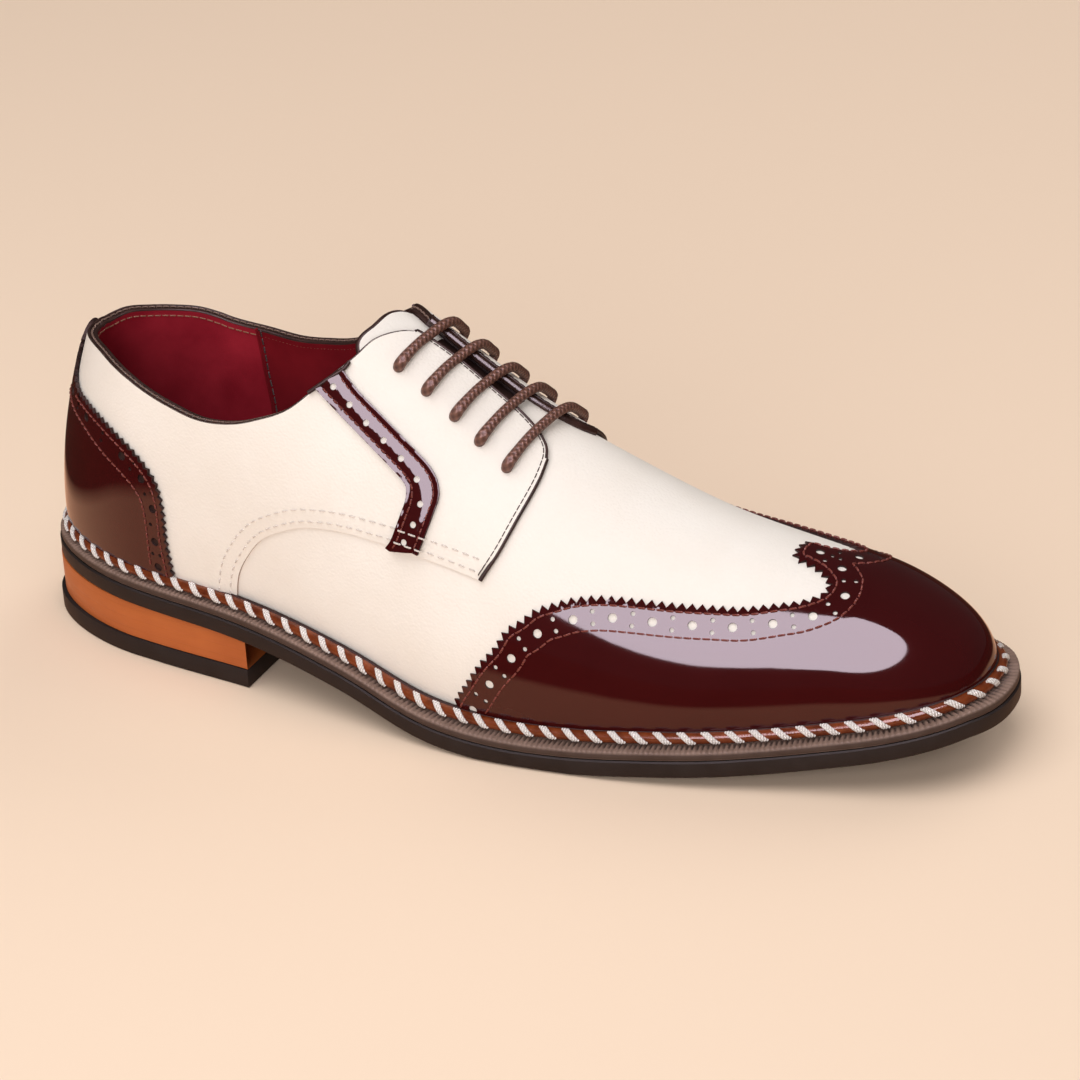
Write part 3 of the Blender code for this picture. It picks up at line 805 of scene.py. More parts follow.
class Nodes:
    """Short hand for a node tree."""

    @staticmethod
    def material(name: str) -> tuple[bpy.types.Material, "Nodes", bpy.types.Node]:
        """New material, short hand for its nodes, and its shader.

        Args:
            name: Name of the material.

        Returns:
            The material, its nodes and its shader.
        """
        made = bpy.data.materials.new(name)
        made.use_nodes = True
        return made, Nodes(made.node_tree), made.node_tree.nodes["Principled BSDF"]

    def __init__(self, tree: bpy.types.NodeTree) -> None:
        """Takes the tree that nodes are added to."""
        self.tree = tree

    def add(self, kind: str, settings: Optional[dict] = None, **inputs: object) -> bpy.types.Node:
        """Adds a node.

        Args:
            kind: Type name of the node.
            settings: Properties of the node.
            inputs: Values or sockets by input name, with _ for a space.

        Returns:
            The node.
        """
        node = self.tree.nodes.new(kind)
        for key, value in (settings or {}).items():
            setattr(node, key, value)
        self.fill(node, **inputs)
        return node

    def fill(self, node: bpy.types.Node, **inputs: object) -> None:
        """Links or sets inputs of a node by name, with _ for a space."""
        for key, value in inputs.items():
            self.set(node.inputs[key.replace("_", " ")], value)

    def set(self, socket: Socket, value: object) -> None:
        """Links a socket or sets its value.

        Args:
            socket: Input to fill.
            value: Socket or plain value.
        """
        if isinstance(value, Socket):
            self.tree.links.new(value, socket)
        else:
            socket.default_value = value

    def math(self, how: str, first: object, second: object = 0.0) -> Socket:
        """One sum of two values.

        Args:
            how: Operation.
            first: First value.
            second: Second value.

        Returns:
            The result.
        """
        node = self.add("ShaderNodeMath", {"operation": how})
        self.set(node.inputs[0], first)
        self.set(node.inputs[1], second)
        return node.outputs[0]

    def blend(self, factor: object, first: object, second: object) -> Socket:
        """Mix of two colours.

        Args:
            factor: Share of the second colour.
            first: First colour.
            second: Second colour.

        Returns:
            The mix.
        """
        node = self.add("ShaderNodeMix", {"data_type": "RGBA"})
        self.set(node.inputs[0], factor)
        self.set(node.inputs[6], first)
        self.set(node.inputs[7], second)
        return node.outputs[2]

    def ramp(self, value: object, low: float, high: float, to_low: float, to_high: float) -> Socket:
        """Value carried from one range to another and held at its ends.

        Args:
            value: Value to carry.
            low: Start of its range.
            high: End of its range.
            to_low: New start.
            to_high: New end.

        Returns:
            The carried value.
        """
        node = self.add("ShaderNodeMapRange", {"clamp": True})
        for socket, item in zip(node.inputs, (value, low, high, to_low, to_high)):
            self.set(socket, item)
        return node.outputs[0]


class Effects:
    """Shader node groups that several finishes share."""

    made: dict[str, bpy.types.NodeTree] = {}

    @classmethod
    def group(cls, name: str, ins: dict[str, float], outs: Sequence[str]) -> tuple[bpy.types.NodeTree, Nodes]:
        """New group with float sockets.

        Args:
            name: Name of the group.
            ins: Inputs and their values.
            outs: Outputs.

        Returns:
            The group and its nodes.
        """
        tree = bpy.data.node_groups.new(name, "ShaderNodeTree")
        for key, value in ins.items():
            socket = tree.interface.new_socket(key, in_out="INPUT", socket_type="NodeSocketFloat")
            socket.default_value = value
        for key in outs:
            tree.interface.new_socket(key, in_out="OUTPUT", socket_type="NodeSocketFloat")
        cls.made[name] = tree
        return tree, Nodes(tree)

    @classmethod
    def grain(cls) -> bpy.types.NodeTree:
        """Leather grain: pebbles of a size in millimetres, and broad cloudy tone.

        Returns:
            The group.
        """
        if "leather_grain" in cls.made:
            return cls.made["leather_grain"]
        tree, n = cls.group("leather_grain", {"Pebble": 0.6, "Cloud": 18.0}, ("Height", "Tone"))
        ends = n.add("NodeGroupInput")
        spot = n.add("ShaderNodeTexCoord").outputs["Object"]
        fine = n.math("DIVIDE", 1000.0, ends.outputs["Pebble"])
        broad = n.math("DIVIDE", 1000.0, ends.outputs["Cloud"])
        cells = n.add("ShaderNodeTexVoronoi", {"feature": "SMOOTH_F1"}, Vector=spot, Scale=fine, Smoothness=0.6)
        pores = n.add("ShaderNodeTexNoise", Vector=spot, Scale=fine, Detail=4.0, Roughness=0.6)
        cloud = n.add("ShaderNodeTexNoise", Vector=spot, Scale=broad, Detail=5.0, Roughness=0.55)
        bumps = n.math("MULTIPLY", n.math("SUBTRACT", 1.0, cells.outputs["Distance"]), 0.6)
        height = n.math("ADD", bumps, n.math("MULTIPLY", pores.outputs["Fac"], 0.5))
        out = n.add("NodeGroupOutput")
        n.fill(out, Height=height, Tone=n.ramp(cloud.outputs["Fac"], 0.3, 0.7, 0.0, 1.0))
        return tree

    @classmethod
    def twist(cls) -> bpy.types.NodeTree:
        """Twisted thread on a piece's own UV: V is millimetres along, U goes once round.

        Returns:
            The group.
        """
        if "thread_twist" in cls.made:
            return cls.made["thread_twist"]
        tree, n = cls.group("thread_twist", {"Pitch": 0.8, "Strands": 2.0, "Cross": 0.0}, ("Height", "Tone"))
        ends = n.add("NodeGroupInput")
        uv = n.add("ShaderNodeUVMap")
        parts = n.add("ShaderNodeSeparateXYZ", Vector=uv.outputs["UV"])
        turns = n.math("DIVIDE", parts.outputs["Y"], ends.outputs["Pitch"])
        round_it = n.math("MULTIPLY", parts.outputs["X"], ends.outputs["Strands"])
        one = n.math("SINE", n.math("MULTIPLY", n.math("ADD", turns, round_it), math.tau))
        two = n.math("SINE", n.math("MULTIPLY", n.math("SUBTRACT", turns, round_it), math.tau))
        both = n.math("ADD", one, n.math("MULTIPLY", two, ends.outputs["Cross"]))
        fuzz = n.add("ShaderNodeTexNoise", Vector=n.add("ShaderNodeTexCoord").outputs["Object"], Scale=2600.0)
        out = n.add("NodeGroupOutput")
        n.fill(out, Height=n.math("ADD", both, fuzz.outputs["Fac"]))
        # painted shade: the tone is darker in the grooves between the strands, where the bump is low; the fuzz adds
        # random tone
        shade = n.math("ADD", both, n.math("MULTIPLY", fuzz.outputs["Fac"], 2.0))
        n.fill(out, Tone=n.ramp(shade, -1.0, 3.0, 0.0, 1.0))
        return tree


Colour = tuple[float, float, float]
# colour that an attribute mask blends in as painted shade, used in the welt's notches
SHADE_COLOUR: Colour = (0.010, 0.005, 0.004)


@dataclass(frozen=True)
class LeatherFinish:
    """Grained leather with cloudy tone, from matt calf to patent."""

    name: str
    light: Colour
    dark: Colour
    rough: tuple[float, float] = (0.45, 0.60)
    pebble: float = 0.6
    cloud: float = 18.0
    depth: float = 0.00006
    specular: float = 0.5
    # name of a point attribute that blends in painted shade, if any
    painted_shade: str = ""

    def material(self) -> bpy.types.Material:
        """Material of this finish, made once.

        Returns:
            The material.
        """
        if self.name in bpy.data.materials:
            return bpy.data.materials[self.name]
        made, n, shader = Nodes.material(self.name)
        grain = n.add("ShaderNodeGroup", {"node_tree": Effects.grain()}, Pebble=self.pebble, Cloud=self.cloud)
        bump = n.add("ShaderNodeBump", Height=grain.outputs["Height"], Strength=1.0, Distance=self.depth)
        tone = grain.outputs["Tone"]
        colour = n.blend(tone, (*self.dark, 1.0), (*self.light, 1.0))
        # painted shade: the attribute's value darkens the colour towards the shade colour
        if self.painted_shade:
            mask = n.add("ShaderNodeAttribute", {"attribute_name": self.painted_shade}).outputs["Fac"]
            colour = n.blend(mask, colour, (*SHADE_COLOUR, 1.0))
        n.fill(
            shader,
            Base_Color=colour,
            Roughness=n.ramp(tone, 0.0, 1.0, *self.rough),
            Normal=bump.outputs["Normal"],
            Specular_IOR_Level=self.specular,
        )
        return made


@dataclass(frozen=True)
class ThreadFinish:
    """Twisted thread or braided cord."""

    name: str
    light: Colour
    dark: Colour
    pitch: float = 0.8
    strands: float = 2.0
    cross: float = 0.0
    rough: float = 0.55
    depth: float = 0.00008
    coat: float = 0.0

    def material(self) -> bpy.types.Material:
        """Material of this finish, made once.

        Returns:
            The material.
        """
        if self.name in bpy.data.materials:
            return bpy.data.materials[self.name]
        made, n, shader = Nodes.material(self.name)
        lay = {"Pitch": self.pitch, "Strands": self.strands, "Cross": self.cross}
        twist = n.add("ShaderNodeGroup", {"node_tree": Effects.twist()}, **lay)
        bump = n.add("ShaderNodeBump", Height=twist.outputs["Height"], Strength=1.0, Distance=self.depth)
        n.fill(
            shader,
            Base_Color=n.blend(twist.outputs["Tone"], (*self.dark, 1.0), (*self.light, 1.0)),
            Roughness=self.rough,
            Normal=bump.outputs["Normal"],
            Coat_Weight=self.coat,
            Coat_Roughness=0.35,
        )
        return made


@dataclass(frozen=True)
class StackFinish:
    """Burnished heel block with the faint lines of its layers."""

    name: str
    light: Colour
    dark: Colour
    layer: float = 3.4

    def material(self) -> bpy.types.Material:
        """Material of this finish, made once.

        Returns:
            The material.
        """
        made, n, shader = Nodes.material(self.name)
        spot = n.add("ShaderNodeTexCoord").outputs["Object"]
        z = n.math("MULTIPLY", n.add("ShaderNodeSeparateXYZ", Vector=spot).outputs["Z"], 1000.0 / self.layer)
        line = n.ramp(n.math("ABSOLUTE", n.math("SUBTRACT", n.math("FRACT", z), 0.5)), 0.0, 0.06, 1.0, 0.0)
        flat = n.add("ShaderNodeMapping", Vector=spot, Scale=(60.0, 60.0, 900.0))
        fibre = n.add("ShaderNodeTexNoise", Vector=flat.outputs["Vector"], Scale=1.0, Detail=6.0, Roughness=0.65)
        grain = n.add("ShaderNodeGroup", {"node_tree": Effects.grain()}, Pebble=0.35, Cloud=22.0)
        mixed = n.math("MULTIPLY", n.math("ADD", fibre.outputs["Fac"], grain.outputs["Tone"]), 0.55)
        tone = n.ramp(n.math("SUBTRACT", mixed, n.math("MULTIPLY", line, 0.18)), 0.15, 0.85, 0.0, 1.0)
        n.fill(
            shader,
            Base_Color=n.blend(tone, (*self.dark, 1.0), (*self.light, 1.0)),
            Roughness=n.ramp(fibre.outputs["Fac"], 0.3, 0.7, 0.38, 0.5),
        )
        height = n.math("SUBTRACT", n.math("MULTIPLY", fibre.outputs["Fac"], 0.6), n.math("MULTIPLY", line, 0.8))
        bump = n.add("ShaderNodeBump", Height=height, Strength=1.0, Distance=0.00004)
        n.fill(shader, Normal=bump.outputs["Normal"], Specular_IOR_Level=0.3)
        return made


CREAM = LeatherFinish(
    "cream_calf", (0.860, 0.818, 0.775), (0.830, 0.780, 0.728), (0.55, 0.66), 0.80, 22.0, 0.00014, 0.15
)
PATENT = LeatherFinish(
    "burgundy_patent", (0.044, 0.0034, 0.0040), (0.036, 0.0026, 0.0032), (0.05, 0.07), 6.0, 40.0, 0.00001, 0.5
)
LINING_RED = LeatherFinish(
    "red_lining", (0.400, 0.017, 0.034), (0.270, 0.008, 0.020), (0.55, 0.66), 0.5, 14.0, 0.00004, 0.15
)
LINING_DARK = LeatherFinish(
    "front_lining", (0.220, 0.006, 0.012), (0.155, 0.0035, 0.008), (0.6, 0.7), 0.5, 14.0, 0.00004, 0.12
)
# painted shade: the quarter's skived foot edge is grey-pink to show the thin shadow line along it
FOOT_EDGE_SHADE = LeatherFinish("cream_edge_shade", (0.46, 0.37, 0.32), (0.38, 0.29, 0.25), (0.6, 0.7), 0.3, 8.0, 0.00004, 0.1)
EDGE_BROWN = LeatherFinish(
    "brown_edge", (0.042, 0.018, 0.013), (0.020, 0.008, 0.006), (0.40, 0.52), 0.5, 4.0, 0.00005, 0.3
)
BAND_BROWN = LeatherFinish(
    "polished_band", (0.046, 0.019, 0.014), (0.026, 0.010, 0.007), (0.20, 0.28), 0.5, 4.0, 0.00004, 0.5
)
# dark brown of raw and pinked edges, also laid as painted shade in the counter's holes and in the crevice above the
# bead
TOOTH_AND_SHADE_BROWN = LeatherFinish(
    "pinked_edge_and_painted_shade", (0.034, 0.014, 0.010), (0.015, 0.006, 0.005), (0.55, 0.70), 0.3, 3.0, 0.00005, 0.25
)
BEAD_TAN = LeatherFinish(
    "polished_bead", (0.220, 0.048, 0.012), (0.090, 0.016, 0.005), (0.14, 0.22), 0.5, 4.0, 0.00004, 0.5
)
WELT_TAUPE = LeatherFinish(
    "taupe_welt", (0.255, 0.170, 0.135), (0.185, 0.120, 0.094), (0.55, 0.70), 0.3, 6.0, 0.00004, 0.25, painted_shade="notch"
)
RUBBER = LeatherFinish(
    "black_sole", (0.018, 0.013, 0.011), (0.011, 0.008, 0.007), (0.55, 0.68), 0.35, 7.0, 0.00004, 0.25
)
SOCK = LeatherFinish(
    "sock_leather", (0.200, 0.012, 0.024), (0.150, 0.007, 0.015), (0.55, 0.68), 0.5, 12.0, 0.00004, 0.2
)
HEEL_TAN = StackFinish("burnished_stack", (0.480, 0.128, 0.030), (0.390, 0.094, 0.021))
RED_THREAD = ThreadFinish("red_thread", (0.290, 0.065, 0.042), (0.100, 0.016, 0.012), 0.7, 2.0, 0.0, 0.45)
# the pale thread's dark tone lies below the cream's: painted shade that makes the stitches read as grey dashes
PALE_THREAD = ThreadFinish("pale_thread", (0.88, 0.83, 0.79), (0.64, 0.57, 0.52), 0.8, 2.0, 0.0, 0.6)
COLLAR_THREAD = ThreadFinish("collar_thread", (0.34, 0.22, 0.17), (0.14, 0.08, 0.06), 0.8, 2.0, 0.0, 0.5)
BROWN_THREAD = ThreadFinish("brown_thread", (0.060, 0.028, 0.021), (0.024, 0.010, 0.008), 0.8, 2.0, 0.0, 0.5)
GOLD_THREAD = ThreadFinish("tan_thread", (0.40, 0.18, 0.10), (0.20, 0.07, 0.04), 0.8, 2.0, 0.0, 0.5)
WHIP_THREAD = ThreadFinish("white_whip", (0.93, 0.91, 0.89), (0.55, 0.50, 0.49), 1.0, 1.0, 0.0, 0.45, 0.00014)
LACE_CORD = ThreadFinish("waxed_cord", (0.205, 0.090, 0.060), (0.078, 0.030, 0.021), 1.7, 4.0, 1.0, 0.50, 0.00010, 0.12)
PATENT_FACES = (PATENT, EDGE_BROWN, TOOTH_AND_SHADE_BROWN)


class Dresser:
    """Hands finished pieces to the frame."""

    @staticmethod
    def wear(piece: Piece, slot: Slot, finishes: Sequence, nodes: Sequence[str] = ()) -> None:
        """Gives a piece its materials and its place in the frame.

        Args:
            piece: Finished object.
            slot: Material slot of the record, not used.
            finishes: Finishes in the order of the piece's material slots.
            nodes: Solids that the piece stands for.
        """
        slots = piece.data.materials
        for index, finish in enumerate(finishes):
            if index < len(slots):
                slots[index] = finish.material()
            else:
                slots.append(finish.material())
        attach(piece, BODY)
        if nodes:
            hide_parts(*nodes)
        LOG.info("%s: %d faces", piece.name, len(piece.data.polygons))


@dataclass
class Relief:
    """Fall of a leather's face away from a line."""

    line: ChartLine
    width: float
    drop: float
    power: float = 2.0

    def bend(self, spots: Array, normal: Array) -> tuple[Array, Array]:
        """Depth and tilted normals of points on the last.

        Args:
            spots: Points on the last.
            normal: Outward normals at the points.

        Returns:
            Depth below the plain face, and normals of the falling face.
        """
        base = self.line.last.skin(self.line.x, self.line.y)
        near = np.linalg.norm(spots[:, None, :] - base[None, :, :], axis=-1).argmin(axis=1)
        away = spots - base[near]
        away = away - normal * (away * normal).sum(-1)[:, None]
        gap = np.linalg.norm(away, axis=-1)
        share = np.clip(gap / self.width, 0.0, 1.0)
        slope = self.power * self.drop * share ** (self.power - 1) / self.width
        return self.drop * share ** self.power, unit(normal + unit(away) * slope[:, None])


@dataclass
class Hide:
    """Flat hide on the chart, cut with patterns and carried over the last."""

    last: Last
    name: str
    low: float
    high: float
    foot: float
    first: float = 0.0
    end: float = 0.290
    sides: tuple[Side, ...] = (Side.LATERAL, Side.MEDIAL)
    start_rise: float = 0.0
    fan: int = 40
    straight: int = 120
    rows: int = 44

    def flat(self) -> Piece:
        """Chart region as a slab.

        Returns:
            The slab.
        """
        stations, sides = self.last.ribs(self.fan, self.straight)
        count = len(stations)
        foot = np.maximum(self.last.rise_at(stations, sides, self.foot), self.start_rise)
        body = Bench.grid(self.name, count, self.rows)
        points = Bench.coords(body)
        rib = np.round((points[:, 0] + 1) / 2 * count).astype(int) % count
        share = np.round((points[:, 1] + 1) / 2 * self.rows) / self.rows
        rise = foot[rib] + (1 - foot[rib]) * share
        x, y = self.last.chart(stations[rib], sides[rib], rise)
        Bench.move(body, np.stack([x, y, np.full(len(x), self.low)], axis=-1))
        kept = (stations[rib] >= self.first) & (stations[rib] <= self.end)
        kept &= np.isin(sides[rib], [side.value for side in self.sides]) | (np.abs(y) < 1e-7)
        Bench.edit(
            body,
            lambda: bpy.ops.mesh.select_mode(type="VERT"),
            lambda: bpy.ops.mesh.select_all(action="DESELECT"),
        )
        body.data.vertices.foreach_set("select", ~kept)
        bpy.ops.object.mode_set(mode="EDIT")
        bpy.ops.mesh.delete(type="VERT")
        bpy.ops.object.mode_set(mode="OBJECT")
        Bench.weld(body)
        lift = {"value": (0.0, 0.0, self.high - self.low)}
        Bench.edit(body, lambda: bpy.ops.mesh.extrude_region_move(TRANSFORM_OT_translate=lift))
        Bench.outward(body)
        return body

    def make(
        self,
        cuts: Sequence[tuple[Sequence[ChartLine], Cut]],
        holes: Sequence[list[Outline]] = (),
        relief: Optional[Relief] = None,
    ) -> Piece:
        """Cuts the hide and carries it over the last.

        Args:
            cuts: Closed patterns that lie apart, and whether they are kept or removed.
            holes: Batches of outlines of punched holes.
            relief: Fall of the faces, if they aren't plain.

        Returns:
            The lasted piece, with its outer, inner and rim faces in material slots 0, 1 and 2.
        """
        body = self.flat()
        for lines, how in cuts:
            Bench.cut(body, Bench.prisms(self.name + "_pattern", [line.outline() for line in lines]), how)
        for batch in holes:
            Bench.cut(body, Bench.prisms(self.name + "_punch", batch), Cut.REMOVE)
        Bench.weld(body, 0.00002)
        Bench.edit(body, lambda: bpy.ops.mesh.quads_convert_to_tris(quad_method="BEAUTY", ngon_method="BEAUTY"))
        self.carry(body, relief)
        return body

    def carry(self, body: Piece, relief: Optional[Relief]) -> None:
        """Carries a flat piece over the last and gives it the last's own normals.

        Args:
            body: Flat piece.
            relief: Fall of its faces, if any.
        """
        mesh = body.data
        flat = Bench.coords(body)
        count = len(mesh.polygons)
        way = np.empty(count * 3, dtype=np.float32)
        mesh.polygons.foreach_get("normal", way)
        up = way.reshape(-1, 3)[:, 2]
        kind = np.where(up > 0.5, Face.OUTER.value, np.where(up < -0.5, Face.INNER.value, Face.RIM.value))
        points, normal = self.last.lasted(flat[:, 0], flat[:, 1], flat[:, 2])
        if relief is not None:
            depth, tilted = relief.bend(self.last.skin(flat[:, 0], flat[:, 1]), normal)
            points = points - normal * depth[:, None]
            normal = tilted
        Bench.move(body, points)
        for _ in Face:
            mesh.materials.append(None)
        mesh.polygons.foreach_set("material_index", kind.astype(np.int32))
        mesh.polygons.foreach_set("use_smooth", np.ones(count, dtype=bool))
        mesh.update()
        mesh.polygons.foreach_get("normal", way)
        corner = np.empty(len(mesh.loops), dtype=np.int32)
        mesh.loops.foreach_get("vertex_index", corner)
        sizes = np.empty(count, dtype=np.int32)
        mesh.polygons.foreach_get("loop_total", sizes)
        of_face = np.repeat(np.arange(count), sizes)
        face_kind = kind[of_face][:, None]
        own = normal[corner]
        flat_way = way.reshape(-1, 3)[of_face]
        inner = np.where(face_kind == Face.INNER.value, -own, flat_way)
        loops = np.where(face_kind == Face.OUTER.value, own, inner)
        mesh.normals_split_custom_set(loops.tolist())

    def punch(self, line: ChartLine, radius: float, corners: int = 12) -> list[Outline]:
        """Outlines of round holes of a true radius at the points of a line.

        Args:
            line: Middles of the holes.
            radius: Their radius.
            corners: Corners of each.

        Returns:
            The outlines.
        """
        run, _, normal = self.last.slopes(line.x, line.y)
        ahead = unit(run)
        aside = np.cross(normal, ahead)
        found = []
        for turn in math.tau * (np.arange(corners) + 0.37) / corners:
            move = radius * (math.cos(turn) * ahead + math.sin(turn) * aside)
            step_x, step_y = self.last.unroll(line.x, line.y, move)
            found.append(np.stack([line.x + step_x, line.y + step_y], axis=-1))
        return [[tuple(point) for point in hole] for hole in np.stack(found, axis=1).tolist()]

    def plugs(self, name: str, holes: Sequence[Outline], offset: float) -> Piece:
        """Leather that shows in punched holes, as one face in each hole.

        Args:
            name: Name of the piece.
            holes: Outlines of the holes.
            offset: Height of the faces.

        Returns:
            The piece.
        """
        flat = np.array([point for hole in holes for point in hole])
        points, normal = self.last.lasted(flat[:, 0], flat[:, 1], offset)
        faces, start = [], 0
        for hole in holes:
            faces.append(list(range(start, start + len(hole))))
            start += len(hole)
        return Bench.build(name, points, faces)


@dataclass
class Tube:
    """Round cord through points, with UV in millimetres along it."""

    name: str
    points: Array
    radius: float | Array
    sides: int = 10
    closed: bool = False
    up: Optional[Array] = None

    def arrays(self) -> tuple[Array, list[tuple[int, ...]], Array]:
        """Points, faces and the UV of every face corner.

        Returns:
            The three arrays.
        """
        path = np.asarray(self.points, dtype=float)
        count = len(path)
        if self.closed:
            along = unit(np.roll(path, -1, 0) - np.roll(path, 1, 0))
        else:
            along = unit(np.gradient(path, axis=0))
        if self.up is None:
            side = np.cross(along[0], (0.0, 0.0, 1.0))
            if np.linalg.norm(side) < 0.2:
                side = np.cross(along[0], (1.0, 0.0, 0.0))
            first = unit(np.cross(side, along[0]))
            ups = [first]
            for way in along[1:]:
                ups.append(unit(ups[-1] - way * np.dot(ups[-1], way)))
            up = np.array(ups)
        else:
            up = unit(self.up - along * (self.up * along).sum(-1)[:, None])
        side = np.cross(along, up)
        turn = np.linspace(0, math.tau, self.sides, endpoint=False)
        across, lift = np.cos(turn)[None, :, None], np.sin(turn)[None, :, None]
        ring = across * side[:, None, :] + lift * up[:, None, :]
        verts = (path[:, None, :] + np.broadcast_to(self.radius, count)[:, None, None] * ring).reshape(-1, 3)
        step = np.linalg.norm(np.diff(path, axis=0, append=path[:1]), axis=-1)
        far = np.concatenate([[0.0], np.cumsum(step)]) * 1000
        faces, uv = [], []
        rows = count if self.closed else count - 1
        for i in range(rows):
            j = (i + 1) % count
            for k in range(self.sides):
                m = (k + 1) % self.sides
                faces.append((i * self.sides + k, j * self.sides + k, j * self.sides + m, i * self.sides + m))
                a, b = k / self.sides, (k + 1) / self.sides
                uv.extend(((a, far[i]), (a, far[i + 1]), (b, far[i + 1]), (b, far[i])))
        if not self.closed:
            ends = (tuple(range(self.sides)), tuple(range((count - 1) * self.sides, count * self.sides))[::-1])
            for face in ends:
                faces.append(face)
                uv.extend((0.5, 0.0) for _ in face)
        return verts, faces, np.array(uv)

    def make(self) -> Piece:
        """The cord as one object."""
        return Tube.join(self.name, [self])

    @staticmethod
    def join(name: str, tubes: Sequence["Tube"]) -> Piece:
        """Several cords joined as one object with outward faces and smooth shading.

        Args:
            name: Name of the piece.
            tubes: Cords to join.

        Returns:
            The piece.
        """
        verts, faces, uvs, start = [], [], [], 0
        for tube in tubes:
            v, f, uv = tube.arrays()
            verts.append(v)
            faces.extend(tuple(i + start for i in face) for face in f)
            uvs.append(uv)
            start += len(v)
        piece = Bench.build(name, np.concatenate(verts), faces)
        layer = piece.data.uv_layers.new(name="UVMap")
        layer.data.foreach_set("uv", np.concatenate(uvs).astype(np.float32).ravel())
        Bench.outward(piece)
        Bench.smooth(piece, 50.0)
        return piece


def rounded_path(points: Array, rounds: int = 3) -> Array:
    """Path with its corners cut and cut again.

    Args:
        points: Corners of the path.
        rounds: Number of cuts.

    Returns:
        The rounded path.
    """
    path = np.asarray(points, dtype=float)
    for _ in range(rounds):
        near = path[:-1] * 0.75 + path[1:] * 0.25
        far = path[:-1] * 0.25 + path[1:] * 0.75
        path = np.vstack([path[:1], np.stack([near, far], axis=1).reshape(-1, 3), path[-1:]])
    return path


@dataclass
class Seams:
    """Rows of stitches, each stitch a short thread that dips in at both ends."""

    last: Last
    thread: float = 0.00030
    dip: float = 0.00022

    def row(
        self,
        line: ChartLine,
        offset: float | Callable[[ChartLine], Array],
        pitch: float,
        share: float = 0.74,
        radius: Optional[float] = None,
    ) -> list[Tube]:
        """Stitches along a line.

        Args:
            line: Chart line that the row follows.
            offset: Offset of the leather's face, or what gives it at chart points.
            pitch: Distance between stitches.
            share: Share of the pitch that the thread shows.
            radius: Radius of the thread.

        Returns:
            One tube for each stitch.
        """
        radius = radius or self.thread
        marks = line.every(pitch)
        length = line.measure()[-1]
        middles = np.linspace(0, length, len(marks.x))[:-1] + length / (len(marks.x) - 1) / 2
        half = pitch * share / 2
        found = []
        ladder = np.array([-1.0, -0.72, 0.0, 0.72, 1.0])
        levels = np.array([-self.dip, radius * 0.35, radius * 0.6, radius * 0.35, -self.dip])
        at = (middles[:, None] + ladder * half).ravel()
        points = line.at(at)
        face = offset(line.at(middles)) if callable(offset) else np.full(len(middles), offset)
        out = (face[:, None] + levels).ravel()
        where, normal = self.last.lasted(points.x, points.y, out)
        clear = where[:, 2] > self.last.feather(where[:, 0] + self.last.middle[0]) + FOOT_RISE
        for i in range(len(middles)):
            part = slice(i * 5, i * 5 + 5)
            if clear[part].all():
                found.append(Tube("stitch", where[part], radius, 5, up=normal[part]))
        return found

    def inner_row(self, line: ChartLine, offset: float, pitch: float, radius: float) -> list[Tube]:
        """Stitches on the inner face of a wall.

        Args:
            line: Chart line of the row.
            offset: Offset of the inner face.
            pitch: Distance between stitches.
            radius: Radius of the thread.

        Returns:
            One tube for each stitch.
        """
        keep, self.dip = self.dip, -self.dip
        found = self.row(line, offset - 1.2 * radius, pitch, 0.74, radius)
        self.dip = keep
        return found


